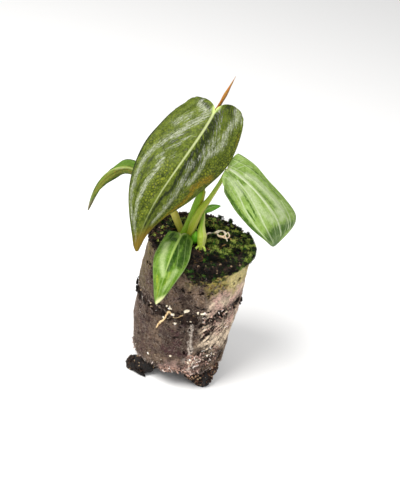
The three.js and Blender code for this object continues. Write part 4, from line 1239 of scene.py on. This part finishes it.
def paper_marks(turn, z):
    """Zones of colour on the paper, with ragged borders.

    side and high are degrees from the seam and millimetres up, and so are the limits of the zones.
    """
    spot = on_plug(turn, RIM_RADIUS, z)
    side = from_seam(turn) + 9 * grit(spot, 7, 3)
    high = z + 4 * grit(spot + Vector((40, 0, 0)), 6, 3)
    rough = grit(spot + Vector((0, 40, 0)), 2.2, 4)
    right = window(side, -2, 110, 12)
    algae = ease(60, 69, high) * right + ease(66, 74, high) * window(side, -22, 6, 6)
    algae += 0.4 * ease(70, 76, high)
    bright = window(side, 20, 62, 7) * ease(60, 68, high)
    stain = window(side, -36, 6, 8) * ease(67, 75.5, high) + window(side, 0, 26, 6) * ease(71, 76.5, high)
    stain += 0.7 * ease(74.5, 77.5, high) * (1 - bright)
    pale = window(side, 5, 84, 6) * window(high, 27, 60, 4) * (0.85 + 0.5 * rough)
    pale = max(pale, 0.9 * window(side, 24, 78, 6) * window(high, 53, 64, 3))
    rosy = window(side, 10, 70, 6) * ease(38, 46, high)
    rosy += 0.7 * window(side, -34, 14, 5) * ease(22, 15, high)
    # Painted shade down the left side of the sleeve, added to the dark panel left of the seam.
    left = ease(-30, -75, side) * ease(-150, -120, side)
    panel_and_left_shade = max(window(side, -42, -6, 3) * window(high, 22, 43, 2), 0.6 * left)
    tan = window(side, -110, -74, 6) * window(high, 50, 76, 5)
    lean = SEAM_LINE_LEAN * (SEAM_LINE_TOP - z)
    beside = from_seam(turn) + SEAM_LINE_ASIDE - lean + 3 * grit(spot, 3, 2)
    seam = 0.75 * window(beside, -SEAM_LINE_HALF, SEAM_LINE_HALF, 1) * window(z, 12, 46, 2)
    angle, height, radius = SEAM_PATCH
    seam = max(seam, 1.4 - math.hypot((from_seam(turn) - angle) * 0.34, z - height) / radius)
    # Painted shade in the valleys between the slanting folds.
    fold_shade = loose(turn, z) * ease(0.25, -0.4, slant(turn, z))
    line = 0.7 * window(high, 19.5, 22, 1.2) * window(side, -50, 0, 6)
    band = window(side, -56, 42, 8) * window(z + 3 * rough, 44.5, 51.5, 2)
    worn = ease(2.2, 1.0, hole_depth(turn, z)) + ease(foot_height(turn) + 3.5, foot_height(turn), z) * 0.85
    worn += 0.8 * window(side, 14, 44, 5) * window(high, 17, 28, 3) + 0.9 * band
    return algae, clamp(stain), pale, rosy, bright, panel_and_left_shade, tan, clamp(seam), fold_shade, clamp(worn + line)


def paper_sleeve():
    """Paper round the plug: a wrinkled tube with frayed ends, torn folds and worn-through holes."""

    def rule(u, v):
        turn = math.pi / 2 + math.pi * v
        z = lerp(foot_height(turn), rim_height(turn), u)
        marks = paper_marks(turn, z)
        frayed = FRAY * grit(on_plug(turn, RIM_RADIUS, 5), 2.0, 3)
        z += frayed * (ease(0.06, 0, u) + 0.5 * ease(0.96, 1, u))
        return paper_place(turn, z, -PAPER_SKIN), marks

    zones = ("algae", "stain", "pale", "rosy", "bright", "panel_and_left_shade", "tan", "seam", "fold_shade", "worn")
    mesh = shaped_grid(*PAPER_GRID, rule, marks=zones, rolled=True)
    holes = []
    for face in mesh.faces:
        middle = face.calc_center_median() / MM
        turn = math.atan2(middle.y, middle.x)
        torn = loose(turn, middle.z) * window(middle.z, 34, 55, 3) > 0.4 and slant(turn, middle.z) < -0.15
        band = window(from_seam(turn), -52, 40, 8) * window(middle.z, 45, 51.5, 2)
        pierced = 2.4 * grit(middle, 2.6, 3) - 1.25 + band > 0
        if torn or pierced or hole_depth(turn, middle.z) < 1:
            holes.append(face)
    bmesh.ops.delete(mesh, geom=holes, context="FACES")
    sleeve = piece("paper_sleeve_skin", mesh, [PAPER_FINISH], ["paper_sleeve"])
    wall = sleeve.modifiers.new("thickness", "SOLIDIFY")
    wall.thickness = PAPER_SKIN * MM
    wall.offset = 1


paper_sleeve()


# Growing medium


def crumb():
    """Rough grain, one unit across."""
    shape = bmesh.new()
    bmesh.ops.create_icosphere(shape, subdivisions=1, radius=0.5)
    for corner in shape.verts:
        corner.co *= 1 + 0.35 * noise.noise(corner.co * 9)
    return shape


def growing_medium():
    """Plug of medium inside the paper, crumbly on top, and the clods below its foot."""
    rows = UNDER_ROWS + WALL_ROWS + TOP_ROWS

    def wall(turn, share):
        z = lerp(foot_height(turn), rim_height(turn) - WALL_BELOW_RIM, share)
        return on_plug(turn, paper_radius(turn, z) - PAPER - WALL_SLACK, z)

    def rule(u, v):
        turn = math.pi * v
        row = round(u * rows)
        if row < UNDER_ROWS:
            share = row / UNDER_ROWS
            rest = on_plug(turn, REST_RADIUS, 0) + REST_CENTRE
            if share < 0.3:
                return REST_CENTRE.lerp(rest, share / 0.3), ()
            point = rest.lerp(wall(turn, 0), (share - 0.3) / 0.7)
            return point + point.normalized() * 0.9 * grit(point, 4, 4) * ease(0.3, 0.5, share), ()
        if row <= UNDER_ROWS + WALL_ROWS:
            point = wall(turn, (row - UNDER_ROWS) / WALL_ROWS)
            worn = ease(2.2, 1.2, hole_depth(turn, point.z))
            return point + outwards(turn) * (0.25 * worn + 0.35 * grit(point, 2.2, 4)), ()
        share = 1 - (row - UNDER_ROWS - WALL_ROWS) / TOP_ROWS
        edge = wall(turn, 1) * share
        z = soil_top(edge.x, edge.y) + 0.45 * grit(Vector((edge.x, edge.y, 0)), 2, 4)
        return Vector((edge.x, edge.y, lerp(z, wall(turn, 1).z, ease(0.94, 1, share)))), ()

    lumps = [shaped_grid(rows, SOIL_SIDES, rule, rolled=True)]
    for centre, size in CLODS:
        lump = bmesh.new()
        bmesh.ops.create_icosphere(lump, subdivisions=5, radius=1)
        for corner in lump.verts:
            x, y, z = corner.co
            swell = 1 + 0.3 * drift(2.2 * x + centre[0], 2.2 * y, 2.2 * z)
            point = Vector((x * size[0], y * size[1], z * size[2])) * swell + Vector(centre)
            point += corner.co * (0.5 * grit(point, 2.2, 4))
            point.z = max(point.z, 0)
            corner.co = point * MM
        for face in lump.faces:
            face.material_index = 1
        lumps.append(lump)
    finishes = [SOIL_FINISH, WET_FINISH]
    piece("growing_medium_body", joined(lumps), finishes, ["growing_medium"])


growing_medium()


# Crumbs of medium on the top, in the worn holes, along the foot and over the clods


def on_clod(rng, centre, size, out):
    """Random place on a clod, out times as far from its middle as its skin, and the way outwards there."""
    way = Vector([rng.gauss(0, 1) for _ in range(3)]).normalized()
    return Vector([c + s * w * out for c, s, w in zip(centre, size, way)]), way


def painted_front_shade(turn, reach):
    """Share of painted shade on the dark front of the top: 1 there, 0 elsewhere."""
    return window(math.degrees(turn), -130, -46, 12) * ease(9, 15, reach)


def medium_crumbs():
    """Loose crumbs on the top, in the worn band, on the clods and along the foot."""
    rng = random.Random(SEEDS["medium_crumbs"])
    places = []
    for _ in range(TOP_CRUMBS):
        _, _, x, y = on_disc(rng, CRUMBS_REACH)
        spot = Vector((x, y, soil_top(x, y) + 0.25))
        places.append((rough_grain(spot, UP, 0.4, 1.5, rng), rng.random() ** 1.5))
    for _ in range(BAND_CRUMBS):
        turn, z = rng.uniform(-math.pi, math.pi), rng.uniform(*BAND_HEIGHTS)
        if hole_depth(turn, z) < 1.05:
            spot = on_plug(turn, paper_radius(turn, z) - 0.6 + rng.uniform(-0.4, 0.5), z)
            places.append((rough_grain(spot, outwards(turn), 0.5, 1.7, rng), rng.random()))
    for _ in range(CLOD_CRUMBS):
        centre, size = rng.choice(CLODS)
        left = centre[0] < 0
        if left and rng.random() < 0.6:
            continue
        spot, way = on_clod(rng, centre, size, 1.02)
        if spot.z > CRUMB_LOWEST:
            places.append((rough_grain(spot, way, 0.5, 1.7, rng), rng.random() ** (1 if left else 0.45)))
    for _ in range(FOOT_CRUMBS):
        turn = rng.uniform(-math.pi, math.pi)
        z = foot_height(turn) + rng.uniform(-2.5, 0.6)
        spot = on_plug(turn, paper_radius(turn, z) - 1.2 + rng.uniform(-0.8, 0.6), z)
        places.append((rough_grain(spot, outwards(turn), 0.4, 1.3, rng), rng.random()))
    piece("medium_crumbs", strewn(crumb(), places), [CRUMB_FINISH], smooth=False)


def clod_grains():
    """Brown and beige grains that stand out of the right clod."""
    rng = random.Random(SEEDS["clod_grains"])
    places = []
    for _ in range(CLOD_GRAINS):
        centre, size = rng.choice(CLODS[3:])
        spot, way = on_clod(rng, centre, size, 1.08)
        sizes = tuple(rng.uniform(0.5, 1.6) for _ in range(3))
        if spot.z > GRAIN_LOWEST:
            places.append((turned_to(spot, way, sizes, rng, 1), rng.random()))
    piece("clod_grains", strewn(crumb(), places), [CLOD_FINISH], smooth=False)


def dry_strands():
    """Dry brown strands of old moss and root that lie across the top."""
    rng = random.Random(SEEDS["dry_strands"])
    places = []
    for _ in range(DRY_STRANDS):
        turn, reach, x, y = on_disc(rng, STRANDS_REACH)
        spot = Vector((x, y, top_height(x, y) + rng.uniform(0.1, 0.7)))
        lying = Vector((rng.gauss(0, 1), rng.gauss(0, 1), rng.gauss(0, 0.3)))
        sizes = (rng.uniform(0.25, 0.5), rng.uniform(0.25, 0.5), rng.uniform(1.5, 4.5))
        place = turned_to(spot, lying, sizes, rng, 0.1)
        # Painted shade darkens the strands on the front of the top.
        places.append((place, rng.random() * (1 - 0.5 * painted_front_shade(turn, reach))))
    piece("dry_strands", strewn(crumb(), places), [STRAND_FINISH], smooth=False)


medium_crumbs()
clod_grains()
dry_strands()


# Moss


def moss_sprig():
    """Pointed leaves that fan out from one foot, one unit long."""
    shape = bmesh.new()
    for number in range(SPRIG_LEAVES):
        tilt = Matrix.Rotation(SPRIG_LEAF_TILT if number else 0.1, 4, "X")
        spin = Matrix.Rotation(number * SPRIG_LEAF_TURN, 4, "Z")
        bmesh.ops.create_cone(
            shape, segments=3, radius1=SPRIG_LEAF_RADIUS, radius2=0, depth=1, cap_ends=False,
            matrix=spin @ tilt @ Matrix.Translation((0, 0, 0.5)))
    return shape


def moss_tone(spot, rng):
    """Bright tips in patches, dark between them, with painted shade on the front of the top and towards the
    left.
    """
    patch = 0.16 + 1.7 * noise.noise(spot / 2.4) + 1.3 * noise.noise(spot / 0.9)
    front = painted_front_shade(math.atan2(spot.y, spot.x), math.hypot(spot.x, spot.y))
    # Painted shade: darker on the front of the top and towards the left.
    shade = 1 - 0.6 * front - 0.15 * ease(-4, -12, spot.x) * (1 - front)
    return clamp((patch + rng.uniform(-0.25, 0.45)) * shade)


def cushion(name, centre, radius, height, seed):
    """Cushion of moss: a lumpy bed, and sprigs all over it."""

    def rule(u, v):
        turn = math.pi * v
        row = round(u * CUSHION_RINGS)
        ragged = drift(2 * math.cos(turn) + seed, 2 * math.sin(turn), seed)
        edge = radius * (1 + CUSHION_RAGGEDNESS * ragged)
        share = 1 - max(row - 1, 0) / (CUSHION_RINGS - 1)
        x, y = centre[0] + share * edge * math.cos(turn), centre[1] + share * edge * math.sin(turn)
        if row == 0:
            return Vector((x, y, SOIL_LEVEL)), (0,)
        z = cushion_top(seed, height, share, x, y) + 0.5 * grit(Vector((x, y, seed)), 1.6, 4)
        return Vector((x, y, z - 0.5)), (0,)

    bed = shaped_grid(CUSHION_RINGS, CUSHION_SIDES, rule, marks=("tone",), rolled=True)
    rng = random.Random(seed)
    places = []
    for _ in range(int(radius * radius * CUSHION_SPRIGS)):
        turn, share = rng.uniform(-math.pi, math.pi), math.sqrt(rng.random()) * 1.04
        x, y = centre[0] + share * radius * math.cos(turn), centre[1] + share * radius * math.sin(turn)
        spot = Vector((x, y, cushion_top(seed, height, min(share, 1), x, y) - rng.uniform(0.3, 1.1)))
        lean = Vector((math.cos(turn) * share, math.sin(turn) * share, 1.2))
        tone = moss_tone(spot, rng)
        places.append((turned_to(spot, lean, rng.uniform(1.1, 2.5), rng, 0.7), tone))
    tufts = joined([bed, strewn(moss_sprig(), places)])
    piece(name + "_tufts", tufts, [MOSS_FINISH], [name], smooth=False)


for node_name, (centre, radius, height, seed) in CUSHIONS.items():
    cushion(node_name, centre, radius, height, seed)


def top_tufts():
    """Thin moss between the cushions, tall at the back right of the rim."""
    rng = random.Random(SEEDS["top_tufts"])
    places = []
    for _ in range(TOP_SPRIGS):
        turn, reach, x, y = on_disc(rng, SPRIGS_REACH)
        tall = ease(21.5, 24.5, reach) * window(math.degrees(turn), -35, 75, 12)
        spot = Vector((x, y, max(soil_top(x, y), SOIL_LEVEL) + rng.uniform(-0.1, 0.7 + 0.7 * tall)))
        bare = noise.noise(spot / 4.2 + Vector((9, 0, 0))) + 0.5 * noise.noise(spot / 1.4)
        if bare + 0.5 * tall < 0.02:
            continue
        outward = Vector((x, y, 0)) / RIM_RADIUS + UP
        size = rng.uniform(0.9, 2) * (1 + 0.7 * tall * rng.random())
        places.append((turned_to(spot, outward, size, rng, 0.6), moss_tone(spot, rng)))
    for angle, tall in RIM_TUFTS:
        for _ in range(TUFT_SPRIGS):
            turn = math.radians(angle + rng.gauss(0, 1.6))
            high = tall * rng.random()
            radius = TUFTS_REACH + rng.uniform(-0.9, 0.5) * (1.2 - high / 5)
            spot = on_plug(turn, radius, PLUG_HEIGHT + high)
            tone = clamp(0.75 * rng.random() - 0.1)
            places.append((turned_to(spot, UP, rng.uniform(0.8, 1.5), rng, 0.5), tone))
    piece("moss_top_tufts", strewn(moss_sprig(), places), [MOSS_FINISH], smooth=False)


top_tufts()


def mat_place(u, v, swell):
    """Point of the mat: u runs from its inner edge over the rim and down, v along the rim."""
    turn = math.radians(lerp(*MAT_ANGLES, (v + 1) / 2))
    ends = math.sqrt(max(1 - abs(v) ** 3, 0))
    rim = rim_height(turn)
    outer = paper_radius(turn, rim) + MAT_CLEARANCE
    thick = swell * (MAT_THICKNESS + 0.35 * drift(u * 7, v * 9, 6)) * (0.4 + 0.6 * ends) * (0.8 - 0.2 * v)
    if u <= 0.5:
        start = lerp(outer, RIM_RADIUS - MAT_REACH, 0.35 + 0.65 * ends)
        radius = lerp(start, outer + thick * ease(0.3, 0.5, u), u / 0.5)
        return on_plug(turn, radius, max(rim, SOIL_LEVEL + SOIL_RELIEF) + MAT_CLEARANCE + thick)
    down = (u - 0.5) / 0.5
    ragged = 0.75 + 0.45 * drift(9 * math.cos(turn), 9 * math.sin(turn), 4)
    hang = 0.6 * ease(0.5, -0.3, v) * MAT_DROP * ragged * (0.3 + 0.7 * ends) * (0.6 - 0.4 * v) * down
    return on_plug(turn, outer + thick * (1 - 0.35 * down), rim + MAT_CLEARANCE - hang)


def moss_mat():
    """Mat of moss over the front of the rim, crumbs round the rim, and bits of both on the paper below."""

    def rule(u, v):
        point = mat_place(u, v, 0.3)
        return point + Vector((0, 0, 0.5 * grit(point, 1.6, 4) - 0.2)), (0,)

    bed = shaped_grid(*MAT_GRID, rule, marks=("tone",), flip=True)
    rng = random.Random(SEEDS["moss_mat"])
    sprigs, crumbs = [], []
    for _ in range(MAT_SPRIGS):
        u, v = rng.uniform(0, 0.95), rng.uniform(-1, 1)
        spot = mat_place(u, v, 0.45)
        inward = Vector((spot.x, spot.y, 0)).normalized()
        spot -= inward * rng.uniform(0, 0.5) + Vector((0, 0, rng.uniform(0, 0.5)))
        outward = inward * (0.2 + u) + Vector((0, 0, 1.3 - u))
        green = ease(-0.3, 0.8, v)
        if rng.random() < 0.35 + 0.5 * green:
            tone = clamp(moss_tone(spot, rng) * (0.8 + 0.3 * green))
            sprigs.append((turned_to(spot, outward, rng.uniform(0.9, 2), rng, 0.7), tone))
        else:
            crumbs.append((rough_grain(spot, outward, 0.5, 1.7, rng), rng.random()))
    for _ in range(RIM_CRUMBS):
        turn = rng.uniform(-math.pi, math.pi)
        radius = paper_radius(turn, PLUG_HEIGHT) + rng.uniform(-1.6, 0.5)
        spot = on_plug(turn, radius, rim_height(turn) + rng.uniform(-1, 0.9))
        crumbs.append((rough_grain(spot, outwards(turn, 0.6), 0.5, 1.6, rng), rng.random() * 0.9))
    for _ in range(PAPER_MOSS):
        angle = rng.uniform(-106, -34)
        turn = math.radians(angle)
        reach = 2 + 7 * window(angle, -96, -70, 9)
        spot = paper_place(turn, MAT_LEVEL - reach * rng.random() ** 1.7, rng.uniform(-0.2, 0.35))
        outward = outwards(turn, 0.3)
        if rng.random() < 0.45:
            crumbs.append((rough_grain(spot, outward, 0.4, 1.1, rng), rng.random() * 0.85))
        else:
            tone = clamp(moss_tone(spot, rng) + 0.15)
            sprigs.append((turned_to(spot, outward, rng.uniform(0.6, 1.3), rng, 0.7), tone))
    mat = joined([bed, strewn(moss_sprig(), sprigs)])
    piece("moss_mat_tufts", mat, [MOSS_FINISH], ["moss_mat_front"], smooth=False)
    piece("rim_crumbs", strewn(crumb(), crumbs), [CRUMB_FINISH], smooth=False)


moss_mat()


# Loose fibres and pale bits on the paper


def fibre():
    """Thin tapered fibre, one unit long, lying along Y."""
    shape = bmesh.new()
    bmesh.ops.create_cone(
        shape, segments=3, radius1=0.02, radius2=0.008, depth=1, cap_ends=True,
        matrix=Matrix.Rotation(math.pi / 2, 4, "X"))
    return shape


def paper_fibres():
    """Loose fibres matted on the paper, and standing out along its torn edges."""
    rng = random.Random(SEEDS["paper_fibres"])
    places = []
    for _ in range(PAPER_FIBRES):
        turn = rng.uniform(-math.pi, math.pi)
        z = rng.uniform(foot_height(turn) + 0.5, 77)
        if hole_depth(turn, z) < 1.1:
            continue
        spot = paper_place(turn, z, rng.uniform(0, 0.12))
        size = (1.4, rng.uniform(1.2, 4.2), 1.4)
        if rng.random() < loose(turn, z):
            rise = math.radians(SLANT_DEG + rng.uniform(-14, 14))
            ahead = Vector((-math.sin(turn), math.cos(turn), 0))
            way = ahead * math.cos(rise) + Vector((0, 0, math.sin(rise)))
            places.append((laid(spot, outwards(turn), way, size), rng.uniform(0.3, 1)))
        else:
            places.append((turned_to(spot, outwards(turn), size, rng, 0.06), rng.random()))
    for _ in range(FOOT_FIBRES):
        turn = rng.uniform(-math.pi, math.pi)
        spot = paper_place(turn, foot_height(turn) + rng.uniform(-0.8, 1.2), rng.uniform(-0.4, 0.3))
        size = (2, rng.uniform(0.8, 2.6), 2)
        places.append((turned_to(spot, outwards(turn), size, rng, 0.5), rng.uniform(0.3, 1)))
    for _ in range(HOLE_FIBRES):
        centre, height, wide, tall = rng.choice(HOLES)
        angle = rng.uniform(-math.pi, math.pi)
        turn = centre + 1.05 * wide * math.cos(angle) / RIM_RADIUS
        spot = paper_place(turn, height + 1.05 * tall * math.sin(angle), rng.uniform(-0.4, 0.3))
        size = (1.6, rng.uniform(0.8, 2.4), 1.6)
        places.append((turned_to(spot, outwards(turn), size, rng, 0.35), rng.random()))
    piece("paper_fibres", strewn(fibre(), places), [FIBRE_FINISH], smooth=False)


def shred():
    """Curled ragged strip, one unit long, lying along Y."""
    shape = bmesh.new()
    bmesh.ops.create_grid(shape, x_segments=1, y_segments=4, size=0.5)
    for corner in shape.verts:
        along = corner.co.y + 0.5
        corner.co.x *= 0.5 * (1 - 0.8 * along * along)
        corner.co.z = 0.3 * along * along + 0.1 * math.sin(7 * along)
    return shape


def foot_shreds():
    """Torn pinkish flaps of paper along the foot, over the foot of the seam and to the right of it."""
    rng = random.Random(SEEDS["foot_shreds"])
    places = []
    for angles, heights, count, long in SHREDS:
        for _ in range(count):
            turn = math.radians(rng.uniform(*angles))
            z = rng.uniform(*heights) if heights else foot_height(turn) + rng.uniform(-0.8, 2)
            spot = paper_place(turn, z, rng.uniform(0, 0.5))
            size = (rng.uniform(0.8, 1.6), long * rng.uniform(0.5, 1.2), rng.uniform(1, 2.2))
            places.append((turned_to(spot, outwards(turn), size, rng, 0.35), rng.random()))
    shreds = piece("foot_shreds", strewn(shred(), places), [SHRED_FINISH], smooth=False)
    wall = shreds.modifiers.new("thickness", "SOLIDIFY")
    wall.thickness = SHRED_THICKNESS * MM


def pale_bits():
    """Pale root ends and grit in the worn band and along the foot."""
    rng = random.Random(SEEDS["pale_bits"])
    places = []
    for angle, z, size in PALE_BITS:
        for _ in range(BIT_GRAINS):
            turn = math.radians(angle + rng.uniform(-1.2, 1.2))
            spot = paper_place(turn, z + rng.uniform(-0.5, 0.5), rng.uniform(-0.1, 0.4))
            sizes = (size * rng.uniform(0.5, 0.9), size * rng.uniform(0.7, 1.2), size * 0.6)
            places.append((turned_to(spot, outwards(turn), sizes, rng, 0.3), rng.uniform(0.4, 1)))
    for _ in range(LOOSE_BITS):
        turn = math.radians(rng.uniform(-180, 180))
        low = rng.random() < 0.4
        z = rng.uniform(*(BIT_HEIGHTS_LOW if low else BIT_HEIGHTS_BAND))
        spot = paper_place(turn, z, rng.uniform(-0.2, 0.2))
        places.append((turned_to(spot, outwards(turn), rng.uniform(0.25, 0.6), rng, 0.5), rng.random()))
    piece("pale_bits", strewn(crumb(), places), [BIT_FINISH], smooth=False)


def edge_lumps():
    """Dark lumps of medium pressed out of the ends of the worn band, and the flake under the left clod."""
    rng = random.Random(SEEDS["edge_lumps"])
    places = []
    for angle, z, size in EDGE_LUMPS:
        for _ in range(LUMP_CRUMBS):
            turn = math.radians(angle) + rng.gauss(0, 0.4) * size / RIM_RADIUS
            spot = paper_place(turn, z + rng.gauss(0, 0.45) * size, rng.uniform(-0.4, 0.5) * size)
            places.append((rough_grain(spot, outwards(turn), 0.5, 1.3, rng), rng.random() * 0.6))
    piece("edge_lumps", strewn(crumb(), places), [CRUMB_FINISH], smooth=False)
    flat = ribbed(2, 0.45)
    piece("clod_flake", rod(FLAKE, FLAKE_RADII, 30, 14, section=flat), [WET_FINISH])


paper_fibres()
foot_shreds()
pale_bits()
edge_lumps()


# Roots


def surface_root():
    """Two pale loops of root over the right cushion."""
    (cx, cy), radius, height, seed = CUSHIONS["moss_cushion_right"]
    loops = []
    for number, path_on_moss in enumerate(ROOT_LOOPS):
        path = []
        for step, (x, y) in enumerate(path_on_moss):
            share = min(math.hypot(x - cx, y - cy) / radius, 1)
            wave = 0.35 * math.sin(2.1 * step + number)
            path.append((x, y, cushion_top(seed, height, share, x, y) + SURFACE_ROOT_RISE + wave))
        thick = SURFACE_ROOT_RADIUS * (0.95 - 0.35 * number)
        radii = [thick * (1 - 0.3 * (step % 2)) for step in range(len(path))]
        loops.append(rod(path, radii, ROOT_STEPS, 12))
    piece("surface_root_skin", joined(loops), [ROOT_FINISH], ["surface_root"])


def knobbly(share, angle):
    """Section of a root with small knobs that wind along it."""
    return 1 + 0.2 * math.sin(60 * share + angle)


def sleeve_root():
    """Tan knobbly root that lies on the paper and dives under its torn edge."""
    path = []
    for angle, z, _ in SLEEVE_ROOT:
        skin = SLEEVE_ROOT_OUT if angle < SLEEVE_ROOT_DIVES else SLEEVE_ROOT_SUNK
        path.append(paper_place(math.radians(angle), z, skin))
    radii = [SLEEVE_ROOT_RADIUS * share for _, _, share in SLEEVE_ROOT]
    root = rod(path, radii, ROOT_STEPS, 14, section=knobbly)
    piece("sleeve_root_skin", root, [TAN_ROOT_FINISH], ["sleeve_root"])


surface_root()
sleeve_root()


# Camera, floor and light


def camera():
    """Camera that looks down on the rim with a roll, and puts the rim's centre where the view has it."""
    height, roll = math.radians(VIEW_HEIGHT_DEG), math.radians(VIEW_ROLL_DEG)
    ahead = Vector((0, math.cos(height), -math.sin(height)))
    level, upright = Vector((1, 0, 0)), Vector((0, math.sin(height), math.cos(height)))
    right = level * math.cos(roll) + upright * math.sin(roll)
    up = upright * math.cos(roll) - level * math.sin(roll)
    aside = (RIM_CENTRE_PIXEL[0] - VIEW_PIXELS[0] / 2) / FOCAL_PIXELS * VIEW_DISTANCE
    above = (VIEW_PIXELS[1] / 2 - RIM_CENTRE_PIXEL[1]) / FOCAL_PIXELS * VIEW_DISTANCE
    place = Vector((0, 0, PLUG_HEIGHT)) - ahead * VIEW_DISTANCE - right * aside - up * above
    lens = bpy.data.cameras.new("camera")
    lens.lens = FOCAL_PIXELS / VIEW_PIXELS[1] * SENSOR
    lens.sensor_width = SENSOR
    lens.clip_start = NEAREST_SEEN
    made = bpy.data.objects.new("camera", lens)
    made.matrix_world = Matrix.Translation(place * MM) @ Matrix((right, up, -ahead)).transposed().to_4x4()
    bpy.context.scene.collection.objects.link(made)
    bpy.context.scene.camera = made


def soft_light(name, place, size, power, tint):
    """Round soft lamp that shines at the plant."""
    lamp = bpy.data.lights.new(name, "AREA")
    lamp.shape = "DISK"
    lamp.size = size
    lamp.energy = power
    lamp.color = tint
    made = bpy.data.objects.new(name, lamp)
    made.location = place
    made.rotation_euler = (Vector(LAMPS_AIM) - Vector(place)).to_track_quat("-Z", "Y").to_euler()
    bpy.context.scene.collection.objects.link(made)


def studio():
    """White floor, even light all round and the two lamps."""
    floor_mesh = bmesh.new()
    bmesh.ops.create_grid(floor_mesh, x_segments=1, y_segments=1, size=FLOOR_SIZE)
    data = bpy.data.meshes.new("floor")
    floor_mesh.to_mesh(data)
    floor_mesh.free()
    data.materials.append(Paint("white_floor", Roughness=0.9, Specular_IOR_Level=0.1).finish(FLOOR_COLOUR))
    floor = bpy.data.objects.new("floor", data)
    bpy.context.scene.collection.objects.link(floor)
    world = bpy.data.worlds.new("studio")
    world.use_nodes = True
    world.node_tree.nodes["Background"].inputs["Color"].default_value = (1, 1, 1, 1)
    world.node_tree.nodes["Background"].inputs["Strength"].default_value = ROOM_LIGHT
    bpy.context.scene.world = world
    for name, lamp in LAMPS.items():
        soft_light(name, *lamp)
    bpy.context.scene.view_settings.view_transform = "Standard"


camera()
studio()
